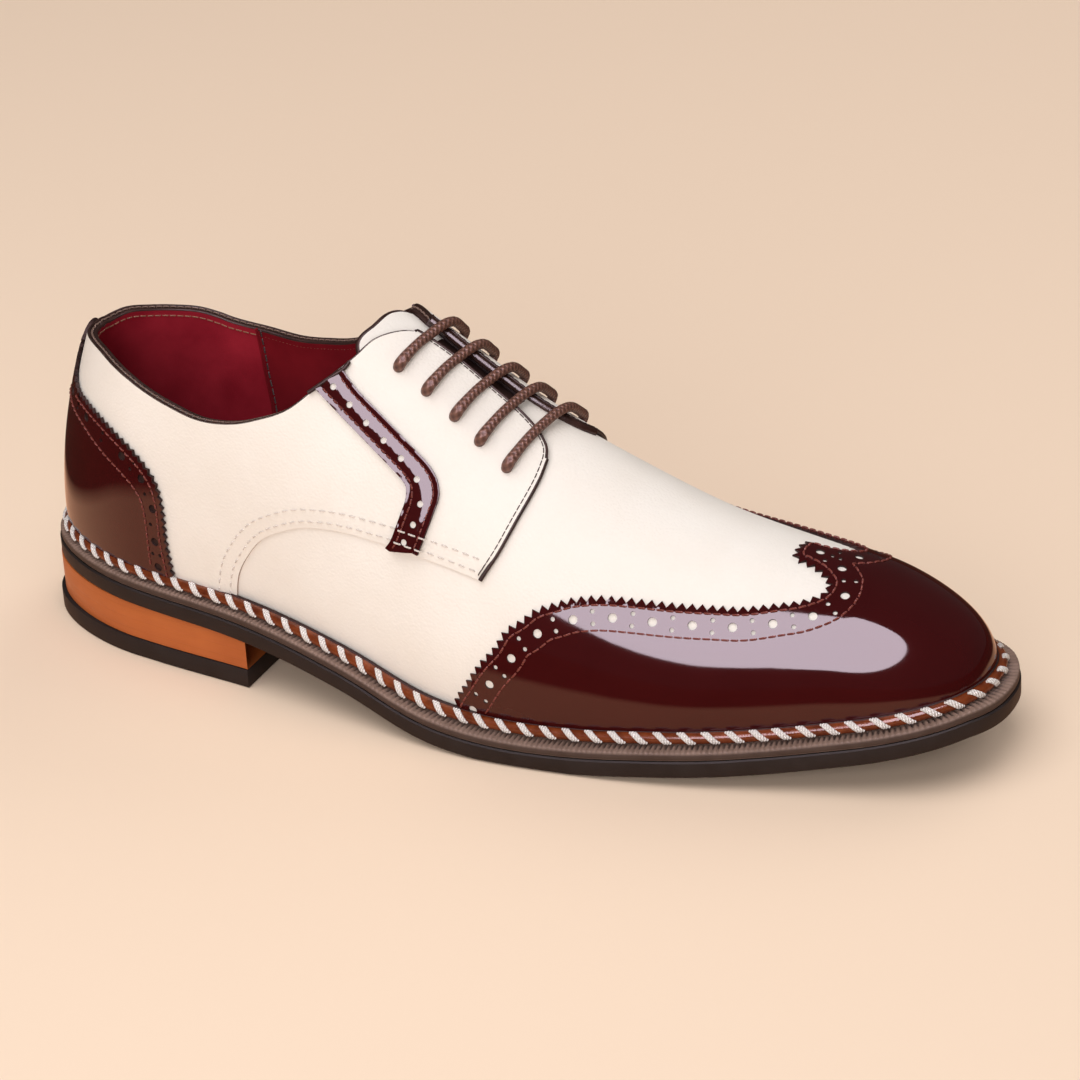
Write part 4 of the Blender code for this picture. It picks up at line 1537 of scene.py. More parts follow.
@dataclass
class Upper:
    """Vamp with lining, two quarters and the tongue."""

    last: Last
    hole: float = 0.0016
    skive: float = 0.0080
    throat: float = 0.1265
    row_reaches: tuple[float, ...] = (0.0020, 0.0056)
    stitch: float = 0.0032
    rows: list[Tube] = field(default_factory=list)

    def opening(self) -> ChartLine:
        """Collar and slit.

        Returns:
            The closed outline.
        """
        lateral, medial = (
            ChartLine.flow(self.last, TOPLINE, side).then(ChartLine.flow(self.last, SLIT, side)) for side in Side
        )
        return lateral.then(medial.back())

    def vamp(self) -> None:
        """Wall with the cream face outside and the red lining inside."""
        hide = Hide(self.last, "vamp_and_lining", LINING, SHELL, SEAT)
        piece = hide.make([([self.opening()], Cut.REMOVE)])
        Dresser.wear(piece, Slot.CREAM, (CREAM, LINING_RED, EDGE_BROWN), ("upper",))
        seam = {side: ChartLine.flow(self.last, LINING_SEAM, side).stretched(0.012) for side in Side}
        sole = beyond(self.last, 0.056, self.last.length, Side.LATERAL, 60)
        sole = sole.then(beyond(self.last, self.last.length, 0.056, Side.MEDIAL, 60))
        outline = seam[Side.LATERAL].then(sole).then(seam[Side.MEDIAL].back())
        hide = Hide(self.last, "front_lining", LINING - LAP, LINING + 0.0002, SEAT, 0.040, 0.290)
        piece = hide.make([([outline], Cut.KEEP), ([self.opening()], Cut.REMOVE)])
        Dresser.wear(piece, Slot.CREAM, (LINING_DARK, LINING_DARK, TOOTH_AND_SHADE_BROWN))

    @staticmethod
    def quarter_line(last: Last, side: Side) -> ChartLine:
        """Outline of one quarter.

        Args:
            last: The last.
            side: Side of the quarter.

        Returns:
            The outline.
        """
        line = ChartLine.flow(last, TOPLINE[:-1], side)
        for run in (FACING, TAB_FRONT, QUARTER_FOOT):
            line = line.then(ChartLine.flow(last, led(run, side), side))
        line = line.then(beyond(last, 0.068, 0.0, side))
        return ChartLine(last, line.x, side.value * np.maximum(side.value * line.y, FIT / 2))

    def quarter(self, side: Side) -> None:
        """One quarter with its lace holes, skived thin along its curved foot.

        Args:
            side: Side of the quarter.
        """
        name = "quarter_" + side.name.lower()
        foot = ChartLine.flow(self.last, led(QUARTER_FOOT, side), side).every(0.0015)
        upper = foot.inside(side.value * self.skive).stretched(0.006)
        lower = foot.shifted(-side.value * 0.004).stretched(0.006)
        strip = upper.then(lower.back())
        outline = self.quarter_line(self.last, side)
        fall = Relief(upper.every(STEP), self.skive, QUARTER * 0.72)
        spots = ChartLine.spots(self.last, LACE_HOLES, side, LACE_LEAD)
        hide = Hide(self.last, name + "_leather", QUARTER_LOW, QUARTER_TOP, FOOT_RISE, 0.0, 0.178, (side,))
        piece = hide.make([([outline], Cut.KEEP), ([strip], Cut.REMOVE)], [hide.punch(spots, self.hole, 16)])
        Dresser.wear(piece, Slot.CREAM, (CREAM, TOOTH_AND_SHADE_BROWN, EDGE_BROWN), (name,))
        sheet = (QUARTER_LOW, QUARTER_TOP, FOOT_RISE, 0.0, 0.178, (side,))
        hide = Hide(self.last, name + "_skive", *sheet, straight=220, rows=70)
        piece = hide.make([([outline], Cut.KEEP), ([strip], Cut.KEEP)], relief=fall)
        # the skived strip's foot edge takes the painted shade
        Dresser.wear(piece, Slot.CREAM, (CREAM, TOOTH_AND_SHADE_BROWN, FOOT_EDGE_SHADE))
        strap = Overlays.strap_outline(self.last, side)

        def face(line: ChartLine) -> Array:
            """Offset of the leather under a stitch, the strap's where it lies over the quarter."""
            depth, _ = fall.bend(self.last.skin(line.x, line.y), self.last.slopes(line.x, line.y)[2])
            return np.where(strap.holds(line), OVER_TOP, QUARTER_TOP - depth)

        for reach in self.row_reaches:
            line = foot.inside(side.value * reach).every(STEP, 0.0015, 0.0)
            self.rows += Seams(self.last).row(line, face, self.stitch, 0.62, 0.00025)

    def tongue(self) -> None:
        """Tongue, cream at its top and dark where it lies in the slit."""
        under = LINING - FIT
        hide = Hide(self.last, "tongue_leather", under - TONGUE, under, OVERLAY_RISE, 0.10, 0.18, start_rise=0.6)
        lateral = ChartLine.flow(self.last, TONGUE_EDGE, Side.LATERAL)
        medial = ChartLine.flow(self.last, TONGUE_MEDIAL, Side.MEDIAL)
        piece = hide.make([([lateral.then(medial.back())], Cut.KEEP)])
        throat = self.throat - self.last.middle[0]
        for poly in piece.data.polygons:
            if poly.material_index == Face.OUTER.value and poly.center.x > throat:
                poly.material_index = Face.RIM.value
        Dresser.wear(piece, Slot.CREAM, (CREAM, LINING_RED, EDGE_BROWN), ("tongue",))

    def build(self) -> None:
        """Builds all of the upper."""
        self.vamp()
        for side in Side:
            self.quarter(side)
        self.tongue()
        Dresser.wear(Tube.join("quarter_stitching", self.rows), Slot.CREAM, (PALE_THREAD,))


@dataclass
class Overlays:
    """Burgundy patent pieces with pinked edges, punched holes and red stitching."""

    last: Last
    tooth: float = 0.0028
    tooth_depth: float = 0.0019
    seam: float = 0.0019
    large: float = 0.00132
    small: float = 0.00070
    counter_large: float = 0.001357
    counter_small: float = 0.00060
    strap_hole: float = 0.00095
    strap_seam: float = 0.0016
    band: float = 0.0086
    hole_pitch: float = 0.0111
    pair: float = 0.0017
    stitch: float = 0.0026
    hole_depth: float = 0.00060
    rows: list[Tube] = field(default_factory=list)

    def wing_half(self, side: Side) -> ChartLine:
        """Wing edge from the feather to the ridge."""
        return ChartLine.flow(self.last, WING_EDGE, side).then(ChartLine.flow(self.last, WING_PEAK, side))

    def brogueing(self, hide: Hide, middle: ChartLine, start: float, end: float) -> list[list[Outline]]:
        """Large holes with pairs of small ones between them, along the middle of a band.

        Args:
            hide: Hide that is punched.
            middle: Middle line of the band.
            start: Bare length at the start.
            end: Bare length at the end.

        Returns:
            Outlines of the large holes, then of the small ones to each side.
        """
        fine = middle.every(0.0006)
        holes = fine.every(self.hole_pitch, start, end)
        step = (fine.measure()[-1] - start - end) / (len(holes.x) - 1)
        between = start + step * (np.arange(len(holes.x) - 1) + 0.5)
        pairs = [hide.punch(fine.beside(between, reach), self.small, 8) for reach in (-self.pair, self.pair)]
        return [hide.punch(holes, self.large), *pairs]

    def fill(self, hide: Hide, holes: Sequence[list[Outline]], finish: LeatherFinish) -> None:
        """Face that shows in the holes of a piece: the leather under them, or dark brown as painted shade.

        Args:
            hide: Hide with the holes.
            holes: Batches of outlines.
            finish: Finish that shows.
        """
        flat = [hole for batch in holes for hole in batch]
        piece = hide.plugs(hide.name + "_holes", flat, hide.high - self.hole_depth)
        Dresser.wear(piece, Slot.PATENT, (finish,))

    def wing_cap(self) -> None:
        """Toe cap with two wings and a centre peak; its pinked edge falls from the seam."""
        whole = self.wing_half(Side.LATERAL).then(self.wing_half(Side.MEDIAL).back())
        edge = whole.every(0.0011)
        seam = edge.inside(-self.seam)
        teeth = edge.pinked(self.tooth, self.tooth_depth)
        sole = beyond(self.last, 0.144, self.last.length, Side.MEDIAL, 60)
        sole = sole.then(beyond(self.last, self.last.length, 0.144, Side.LATERAL, 60))
        hide = Hide(self.last, "wing_cap_leather", QUARTER_LOW, CAP_TOP, FOOT_RISE, 0.138, 0.290, rows=52)
        holes = self.brogueing(hide, edge.inside(-(self.band * 0.5 + 0.0010)), 0.0186, 0.0186)
        piece = hide.make([([seam.then(sole)], Cut.KEEP)], holes)
        Dresser.wear(piece, Slot.PATENT, PATENT_FACES, ("wing_cap",))
        self.fill(hide, holes, CREAM)
        rolled = Relief(edge.inside(-self.seam - 0.0004), self.seam + 0.0004 + self.tooth_depth / 2, 0.00095, 1.0)
        hide = Hide(self.last, "wing_cap_pinking", QUARTER_LOW, CAP_TOP, FOOT_RISE, 0.138, 0.290, rows=52)
        piece = hide.make([([teeth.then(seam.back())], Cut.KEEP)], relief=rolled)
        Dresser.wear(piece, Slot.PATENT, PATENT_FACES)
        for reach in (self.seam, self.band + 0.0002):
            line = edge.inside(-reach).every(STEP, 0.004, 0.004)
            self.rows += Seams(self.last).row(line, CAP_TOP, self.stitch)

    def counter(self) -> None:
        """Heel cover with a narrow back strip."""
        hide = Hide(self.last, "counter_leather", OVER_LOW, OVER_TOP, FOOT_RISE, 0.0, 0.056)
        edges, large, small = {}, [], []
        for side in Side:
            edge = ChartLine.flow(self.last, COUNTER_EDGE, side).every(0.0011)
            edges[side] = edge.pinked(self.tooth * 0.86, self.tooth_depth * 0.60)
            large += hide.punch(ChartLine.spots(self.last, COUNTER_HOLES, side), self.counter_large)
            band = ChartLine.flow(self.last, COUNTER_HOLES, side).every(0.0005)
            spots = ChartLine.spots(self.last, COUNTER_HOLES, side)
            far = band.nearest(spots)
            for reach in (-self.pair * 0.8, self.pair * 0.8):
                small += hide.punch(band.beside((far[1:] + far[:-1]) / 2, reach), self.counter_small, 8)
            inner = ChartLine.flow(self.last, COUNTER_ROW, side).every(STEP)
            for row in (edge.part(0.16, 0.96).inside(side.value * self.seam), inner):
                self.rows += Seams(self.last).row(row, OVER_TOP, self.stitch * 0.85, radius=0.00026)
        sole = beyond(self.last, 0.0516, 0.0, Side.LATERAL).then(beyond(self.last, 0.0, 0.0516, Side.MEDIAL))
        outline = edges[Side.LATERAL].then(sole).then(edges[Side.MEDIAL].back())
        piece = hide.make([([outline], Cut.KEEP)], [large, small])
        Dresser.wear(piece, Slot.PATENT, PATENT_FACES, ("counter",))
        # painted shade: the counter's holes are filled with dark brown, though the cream quarter lies under them
        self.fill(hide, [large, small], TOOTH_AND_SHADE_BROWN)

    @staticmethod
    def strap_edges(last: Last, side: Side) -> tuple[ChartLine, ChartLine]:
        """Front and back edge of a strap."""
        front, back = (ChartLine.flow(last, points, side) for points in (STRAP_FRONT, STRAP_BACK))
        return front.every(0.0008), back.every(0.0008)

    @staticmethod
    def strap_outline(last: Last, side: Side) -> ChartLine:
        """Closed outline of a strap."""
        front, back = Overlays.strap_edges(last, side)
        return front.then(back)

    def strap(self, side: Side) -> None:
        """Bent strap on a quarter, domed between its stitch rows, with a low ridge outside each row.

        Args:
            side: Side of the strap.
        """
        name = "strap_" + side.name.lower()
        front, back = self.strap_edges(self.last, side)
        rows = [line.inside(side.value * self.strap_seam) for line in (front, back)]
        spots = ChartLine.spots(self.last, STRAP_HOLES, side)
        centre = ChartLine.flow(self.last, STRAP_HOLES, side).every(0.0008).stretched(0.008)
        sheet = (OVER_LOW, OVER_TOP, OVERLAY_RISE, 0.09, 0.15, (side,), 0.2, 40, 300, 90)
        hide = Hide(self.last, name + "_leather", *sheet)
        holes = [hide.punch(spots, self.strap_hole)]
        crest = centre.shifted(-side.value * 0.0006).every(0.0006)
        piece = hide.make([([rows[0].then(rows[1])], Cut.KEEP)], holes, Relief(crest, 0.0034, 0.00060))
        Dresser.wear(piece, Slot.PATENT, PATENT_FACES, (name,))
        self.fill(hide, holes, CREAM)
        hide = Hide(self.last, name + "_edges", *sheet)
        strips = [front.then(rows[0].back()), back.then(rows[1].back())]
        rolled = Relief(front.then(back), self.strap_seam, 0.00050)
        piece = hide.make([(strips, Cut.KEEP)], relief=rolled)
        Dresser.wear(piece, Slot.PATENT, PATENT_FACES)
        for row in rows:
            line = row.every(STEP, 0.0012, 0.0012)
            self.rows += Seams(self.last).row(line, OVER_TOP - 0.0004, 0.0022, radius=0.00026)

    def build(self) -> None:
        """Builds the overlays and their stitching."""
        self.wing_cap()
        self.counter()
        for side in Side:
            self.strap(side)
        Dresser.wear(Tube.join("red_stitching", self.rows), Slot.PATENT, (RED_THREAD,))


@dataclass
class Trim:
    """Bindings on the edges, and the stitching of the facings and the lining."""

    last: Last
    pale: list[Tube] = field(default_factory=list)
    brown: list[Tube] = field(default_factory=list)
    gold: list[Tube] = field(default_factory=list)

    def binding(
        self, name: str, runs: Sequence[tuple[ChartLine, float, float]], finish: LeatherFinish = EDGE_BROWN
    ) -> None:
        """Joined cords along chart lines, each with an offset and a radius.

        Args:
            name: Name of the piece.
            runs: Line, offset and radius of each cord.
            finish: Finish of the cords.
        """
        tubes = []
        for line, offset, radius in runs:
            points, _, normal = line.every(STEP).frames(offset)
            tubes.append(Tube(name, points, radius, 8, up=normal))
        Dresser.wear(Tube.join(name, tubes), Slot.CREAM, (finish,))

    def topline(self) -> None:
        """Two fine cords round the collar with a stitch row between them, and a row inside."""
        half = {side: ChartLine.flow(self.last, TOPLINE, side) for side in Side}
        whole = half[Side.LATERAL].back().then(half[Side.MEDIAL]).every(EDGE_STEP)
        lip = whole.shifted(0.0001)
        heads = [(ChartLine.flow(self.last, STRAP_HEAD, side), OVER_TOP - 0.0005, 0.00060) for side in Side]
        self.binding("collar_binding", [(lip, QUARTER_TOP - 0.0004, 0.00043), (lip, LINING + 0.0006, 0.00052), *heads])
        self.pale += Seams(self.last).row(whole.shifted(-0.00020), (QUARTER_LOW + SHELL) / 2, 0.0022, 0.8, 0.00022)
        self.gold += Seams(self.last).inner_row(whole.shifted(0.0017).every(STEP), LINING, 0.0024, 0.00022)

    def facings(self) -> None:
        """Dark edges of the facings and tab fronts, with a fine stitch row inside them."""
        seams = Seams(self.last)
        runs = []
        for side in Side:
            facing = ChartLine.flow(self.last, (TOPLINE[-1][:2], *led(FACING, side)), side)
            tab = ChartLine.flow(self.last, led(TAB_FRONT, side), side)
            runs.append((facing.every(EDGE_STEP).shifted(side.value * 0.0002), QUARTER_TOP - 0.00005, 0.00042))
            runs.append((tab.every(EDGE_STEP), QUARTER_TOP - 0.00055, 0.00062))
            edge = facing.then(ChartLine(self.last, tab.x[1:], tab.y[1:])).every(EDGE_STEP)
            inner = edge.inside(side.value * 0.0011).every(STEP, 0.001, 0.001)
            self.brown += seams.row(inner, QUARTER_TOP - 0.00005, 0.0021, 0.92, 0.00017)
        medial = ChartLine.flow(self.last, led(FACING, Side.MEDIAL), Side.MEDIAL).every(EDGE_STEP)
        self.binding("facing_edges", runs)
        self.binding("far_facing_band", [(medial.shifted(-0.0008), QUARTER_LOW + 0.0001, 0.00135)], BAND_BROWN)

    def tongue_top(self) -> None:
        """Binding round the top of the tongue."""
        lateral = ChartLine.flow(self.last, TONGUE_EDGE[:6], Side.LATERAL)
        medial = ChartLine.flow(self.last, TONGUE_MEDIAL[1:6], Side.MEDIAL)
        whole = lateral.back().then(medial).every(EDGE_STEP)
        middle = LINING - FIT - TONGUE / 2
        self.binding("tongue_binding", [(whole, middle, 0.00090)])

    def lining_seam(self) -> None:
        """Upright seam of the lining on both sides, lapped and stitched."""
        runs = []
        for side in Side:
            line = ChartLine.flow(self.last, LINING_SEAM, side).every(STEP)
            points, _, normal = line.frames(LINING - LAP)
            runs.append(Tube("lap", points, 0.00045, 6, up=normal))
            beside = line.shifted(-side.value * 0.0014)
            self.brown += Seams(self.last).inner_row(beside, LINING - LAP, 0.0028, 0.00026)
        Dresser.wear(Tube.join("lining_lap", runs), Slot.CREAM, (LINING_DARK,))

    def build(self) -> None:
        """Builds all bindings and rows."""
        self.topline()
        self.facings()
        self.tongue_top()
        self.lining_seam()
        for name, tubes, finish in (
            ("collar_stitching", self.pale, COLLAR_THREAD),
            ("brown_stitching", self.brown, BROWN_THREAD),
            ("lining_stitching", self.gold, GOLD_THREAD),
        ):
            Dresser.wear(Tube.join(name, tubes), Slot.CREAM, (finish,))


@dataclass
class Rand:
    """Cord bead on the welt, whipped with white thread."""

    last: Last
    radius: float = 0.0016
    pitch: float = 0.0067
    strand: float = 0.00041
    slant: float = 0.0017
    turn: tuple[float, float] = (-26.0, 82.0)
    crevice_shadow: float = 0.0007
    points: int = 1440

    def path(self, count: int) -> tuple[Array, Array]:
        """Centre line of the bead and its outward plan directions.

        Args:
            count: Points round the shoe.

        Returns:
            Points and directions.
        """
        plan, out, station = self.last.rim(count)
        lean = fair(self.last.sections, station)[..., 0]
        height = self.radius + SEAT
        room = SHELL + (self.radius + FIT) * np.hypot(1, lean) + lean * height + 0.0004
        at = plan + out * room[:, None]
        z = self.last.feather(at[:, 0]) + height
        shift = np.array([*self.last.middle, 0.0])
        return np.column_stack([at, z]) - shift, np.column_stack([out, np.zeros(count)])

    def whip(self, base: Array, out: Array, along: Array) -> list[Tube]:
        """One slanted stitch of three strands round the bead.

        Args:
            base: Point on the bead's centre line.
            out: Outward direction there.
            along: Direction along the bead there.

        Returns:
            The strands.
        """
        up = unit(np.cross(out, along))
        up = up if up[2] > 0 else -up
        angles = np.radians(np.linspace(*self.turn, 9))
        lean = np.linspace(self.slant, -self.slant, 9)
        ring = self.radius + self.strand * 0.45
        loop = base + (np.cos(angles)[:, None] * out + np.sin(angles)[:, None] * up) * ring
        return [
            Tube("whip", loop + along * (lean[:, None] + place * self.strand * 1.85), self.strand * size, 6)
            for place, size in ((-1, 0.92), (0, 1.08), (1, 0.92))
        ]

    def build(self) -> None:
        """Builds the bead, a dark cord of painted shade in the crevice above it, and its whip stitches."""
        fine = self.points
        upright = np.tile((0.0, 0.0, 1.0), (fine // 2, 1))
        centre, out = self.path(fine)
        bead = Tube("rand_bead", centre[::2], self.radius, 14, True, up=upright).make()
        Dresser.wear(bead, Slot.BEAD, (BEAD_TAN,), ("rand",))
        # painted shade: a dark cord laid in the crevice between the bead and the upper
        corner = centre - out * (self.radius * 0.78) + np.array([0.0, 0.0, self.radius * 0.62])
        crevice_shadow = Tube("rand_crevice", corner[::2], self.crevice_shadow, 8, True, up=upright).make()
        Dresser.wear(crevice_shadow, Slot.BEAD, (TOOTH_AND_SHADE_BROWN,))
        length = np.linalg.norm(np.diff(centre, axis=0, append=centre[:1]), axis=-1).sum()
        count = round(length / self.pitch)
        tubes = []
        for at in (np.arange(count) * fine / count).astype(int):
            along = unit(centre[(at + 1) % fine] - centre[at - 1])
            tubes += self.whip(centre[at], out[at], along)
        Dresser.wear(Tube.join("rand_whip_stitches", tubes), Slot.BEAD, (WHIP_THREAD,))


@dataclass
class Bottom:
    """Welt, outsole, heel and insole."""

    last: Last
    welt: float = 0.0026
    outsole: float = 0.0052
    welt_inset: float = 0.0040
    lip: float = 0.0004
    lift: float = 0.0056
    breast: float = 0.0768
    stack_inset: float = 0.0005
    lift_inset: float = 0.0002
    stack_flare: float = 0.0012
    lift_flare: float = 0.0022
    insole_inset: float = 0.0044
    insole_rise: float = 0.0012
    notch: float = 0.00145
    notch_depth: float = 0.00065
    welt_points: int = 2600

    def sweep(
        self, name: str, count: int, rows: Sequence[tuple[Array, Callable[[Array], Array]]], closed: bool
    ) -> Piece:
        """Profile carried round the feather line.

        Args:
            name: Name of the piece.
            count: Points round the shoe.
            rows: Reach beyond the feather line and height over a plan position, for each corner.
            closed: Whether the last corner joins the first; otherwise both ends are filled to the spine.

        Returns:
            The piece.
        """
        plan, out, _ = self.last.rim(count)
        shift = np.array([*self.last.middle, 0.0])
        rings = []
        for reach, height in rows:
            at = plan + out * np.broadcast_to(reach, count)[:, None]
            rings.append(np.column_stack([at, height(at[:, 0])]) - shift)
        verts = np.concatenate(rings)
        faces = []
        levels = len(rings)
        for level in range(levels if closed else levels - 1):
            a, b = level * count, (level + 1) % levels * count
            faces += [(a + i, a + (i + 1) % count, b + (i + 1) % count, b + i) for i in range(count)]
        if not closed:
            for level, height in ((0, rows[0][1]), (levels - 1, rows[-1][1])):
                root = np.clip(plan[:, 0], self.last.heel_pole, self.last.toe_pole)
                spine = np.column_stack([root, np.zeros(count), height(root)]) - shift
                start = len(verts)
                verts = np.vstack([verts, spine])
                a = level * count
                faces += [(a + i, a + (i + 1) % count, start + (i + 1) % count, start + i) for i in range(count)]
        piece = Bench.build(name, verts, faces)
        Bench.weld(piece, 0.00002)
        Bench.outward(piece)
        return piece

    def build_welt(self) -> None:
        """Welt with wheeled notches across its top, darkened by painted shade, and a rounded edge."""
        plan, _, station = self.last.rim(self.welt_points)
        length = np.linalg.norm(np.diff(plan, axis=0, append=plan[:1]), axis=-1).sum()
        notches = round(length / self.notch)
        turn = np.arange(self.welt_points) / self.welt_points * notches * math.tau
        wave = np.clip(0.35 + 1.35 * np.cos(turn), -1.0, 1.0)
        dent = self.notch_depth * (0.5 - 0.5 * wave)
        reach = self.last.reach(station)
        top = lambda drop: (lambda x: self.last.feather(x) - drop)
        rows = (
            (-self.welt_inset, top(0.0)),
            (0.0008, top(0.0)),
            (0.0012, top(dent)),
            (0.52 * reach, top(dent)),
            (0.66 * reach, top(0.45 * dent)),
            (reach - 0.0009, top(0.45 * dent)),
            (reach - 0.0003, top(0.00010 + 0.4 * dent)),
            (reach - 0.00005, top(0.0004 + 0.2 * dent)),
            (reach, top(0.0010)),
            (reach, top(self.welt - 0.0004)),
            (reach - 0.0003, top(self.welt)),
            (-self.welt_inset, top(self.welt)),
        )
        piece = self.sweep("wheeled_welt", self.welt_points, rows, True)
        Bench.smooth(piece, 50.0)
        spots = Bench.coords(piece)
        drop = self.last.feather(spots[:, 0] + self.last.middle[0]) - spots[:, 2]
        # painted shade: each notch is darkened by its depth
        painted_shade = piece.data.attributes.new("notch", "FLOAT", "POINT")
        dark = np.clip(drop / self.notch_depth, 0, 1) ** 2 * 0.75
        painted_shade.data.foreach_set("value", np.where(drop < 0.9 * self.welt, dark, 0.0))
        Dresser.wear(piece, Slot.WELT, (WELT_TAUPE,), ("welt",))

    def sole_top(self, x: Array) -> Array:
        """Upper face of the outsole."""
        return self.last.feather(x) - self.welt - SEAT

    def sole_bottom(self, x: Array) -> Array:
        """Tread: flat under the ball, raised at waist, heel and toe."""
        return np.maximum(self.last.feather(x) - self.welt - SEAT - self.outsole, 0.0)

    def build_outsole(self) -> None:
        """Black outsole with softened edges."""
        station = self.last.rim(720)[2]
        edge = self.last.reach(station) + self.lip
        rows = (
            (edge - 0.010, self.sole_top),
            (edge - 0.0004, self.sole_top),
            (edge, lambda x: self.sole_top(x) - 0.0004),
            (edge, lambda x: self.sole_bottom(x) + 0.0007),
            (edge - 0.0002, lambda x: self.sole_bottom(x) + 0.0003),
            (edge - 0.0007, self.sole_bottom),
            (edge - 0.010, self.sole_bottom),
        )
        piece = self.sweep("black_outsole", 720, rows, False)
        Bench.smooth(piece, 35.0)
        Dresser.wear(piece, Slot.RUBBER, (RUBBER,), ("outsole",))

    def heel_layer(
        self, name: str, inset: float, flare: float, top: Callable[[Array], Array], bottom: Callable[[Array], Array]
    ) -> Piece:
        """One heel layer, flared at the back and cut square at the breast, with softened edges.

        Args:
            name: Name of the piece.
            inset: Distance inside the welt.
            flare: Extra reach at the back.
            top: Height of its upper face.
            bottom: Height of its lower face.

        Returns:
            The piece.
        """
        station = self.last.rim(480)[2]
        edge = self.last.reach(station) - inset + flare * np.clip(1 - station / self.last.heel_pole, 0, 1)
        piece = self.sweep(name, 480, ((edge - 0.008, top), (edge, top), (edge, bottom), (edge - 0.008, bottom)), False)
        bpy.ops.object.select_all(action="DESELECT")
        bpy.ops.mesh.primitive_cube_add(size=0.3, location=(self.breast - self.last.middle[0] + 0.15, 0.0, 0.0))
        cutter = bpy.context.object
        bpy.ops.object.transform_apply(location=True)
        Bench.cut(piece, cutter, Cut.REMOVE)
        Bench.weld(piece, 0.00002)
        Bench.apply(piece, "BEVEL", width=0.0003, segments=2, limit_method="ANGLE", angle_limit=math.radians(55))
        Bench.smooth(piece, 35.0)
        return piece

    def build_heel(self) -> None:
        """Tan heel block and black lift."""
        stack_top = lambda x: self.sole_bottom(np.minimum(x, self.breast + 0.004)) - SEAT
        stack_low = lambda x: np.full_like(x, self.lift + SEAT)
        stack = self.heel_layer("heel_block", self.stack_inset, self.stack_flare, stack_top, stack_low)
        Dresser.wear(stack, Slot.HEEL, (HEEL_TAN,), ("heel_stack",))
        lift_top = lambda x: np.full_like(x, self.lift)
        lift = self.heel_layer("heel_top_piece", self.lift_inset, self.lift_flare, lift_top, np.zeros_like)
        Dresser.wear(lift, Slot.RUBBER, (RUBBER,), ("heel_lift",))

    def build_insole(self) -> None:
        """Insole with its red sock leather."""
        inset = -self.insole_inset
        top = lambda x: self.last.feather(x) + self.insole_rise
        bottom = lambda x: self.last.feather(x) - self.welt + SEAT
        rows = ((inset - 0.003, top), (inset, top), (inset, bottom), (inset - 0.003, bottom))
        piece = self.sweep("sock_insole", 480, rows, False)
        Bench.smooth(piece, 35.0)
        Dresser.wear(piece, Slot.INSOLE, (SOCK,), ("insole",))

    def build(self) -> None:
        """Builds all that is under the upper."""
        self.build_insole()
        self.build_welt()
        self.build_outsole()
        self.build_heel()


@dataclass
class Lacing:
    """Five bars of one waxed cord through the lace holes."""

    last: Last
    radius: float = 0.00145
    bow: float = 0.0022
    sink: float = 0.0010
    swell: float = 0.0007

    def sag(self, share: Array) -> Array:
        """Rise of a bar over its plain run: it sinks between the facings and swells over the far one."""
        return self.swell * np.exp(-((share - 0.68) / 0.12) ** 2) - self.sink * np.exp(-((share - 0.40) / 0.12) ** 2)

    def bar(self, number: int, station: float, rise: float) -> None:
        """One bar, from hole to hole over the facings.

        Args:
            number: Number from the top.
            station: Station of its lateral hole.
            rise: Rise of its holes.
        """
        over = QUARTER_TOP + FIT + self.radius
        rises = 1 - np.abs(np.linspace(rise - 1, 1 - rise, 41))
        sides = np.where(np.arange(41) < 21, Side.LATERAL.value, Side.MEDIAL.value)
        share = np.linspace(0, 1, 41)
        lead = LACE_LEAD * share + self.bow * np.sin(np.pi * share)
        x, y = self.last.chart(station + lead, sides, rises)
        line = ChartLine(self.last, x, y)
        length = line.measure()[-1]
        ends = np.array([0.0, 0.0, 0.0, 0.0011])
        run = np.linspace(0.0034, length - 0.0034, 9)
        at = np.concatenate([ends, run, length - ends[::-1]])
        dive = [SHELL - 0.0012, QUARTER_TOP - 0.0006, over - 0.0011, over + 0.0002]
        levels = np.concatenate([dive, self.sag(run / length) + over, dive[::-1]])
        spots = line.at(at)
        points, _ = self.last.lasted(spots.x, spots.y, levels)
        path = rounded_path(points, 3)
        near = np.linalg.norm(path - path[0], axis=-1)
        radius = self.radius * (1 + 0.16 * np.exp(-((near - 0.0042) / 0.0022) ** 2))
        piece = Tube(f"lace_cord_{number}", path, radius, 14).make()
        Dresser.wear(piece, Slot.LACE, (LACE_CORD,), (f"lace_bar_{number}",))

    def build(self) -> None:
        """Builds the five bars."""
        for number, (station, rise) in enumerate(LACE_HOLES, start=1):
            self.bar(number, station, rise)


@dataclass(frozen=True)
class Lamp:
    """Soft elliptical light, turned in degrees about X and Z from facing straight down."""

    name: str
    place: tuple[float, float, float]
    size: tuple[float, float]
    power: float
    colour: Colour
    tilt: tuple[float, float] = (0.0, 0.0)
    glossy: bool = False
    diffuse: bool = True

    def build(self) -> None:
        """Adds the light."""
        data = bpy.data.lights.new(self.name, "AREA")
        data.shape = "ELLIPSE"
        data.size, data.size_y = self.size
        data.energy = self.power
        data.color = self.colour
        made = bpy.data.objects.new(self.name, data)
        bpy.context.scene.collection.objects.link(made)
        made.location = self.place
        made.rotation_euler = (math.radians(self.tilt[0]), 0.0, math.radians(self.tilt[1]))
        made.visible_glossy = self.glossy
        made.visible_diffuse = self.diffuse


LAMPS = (
    Lamp("overhead", (-0.15, -0.60, 1.6), (2.0, 1.8), 20.5, (1.0, 0.97, 0.96)),
    Lamp("front_fill", (0.35, -1.70, 0.75), (1.6, 1.0), 16.5, (1.0, 0.97, 0.95), (66.0, 12.0)),
    Lamp("back_fill", (0.45, 1.40, 1.15), (1.8, 1.2), 8.0, (1.0, 0.96, 0.94), (-50.0, -17.0)),
    Lamp("mirror_panel", (0.35, -1.86, 1.04), (1.10, 3.44), 108.0, (1.0, 0.86, 0.98), glossy=True, diffuse=False),
)


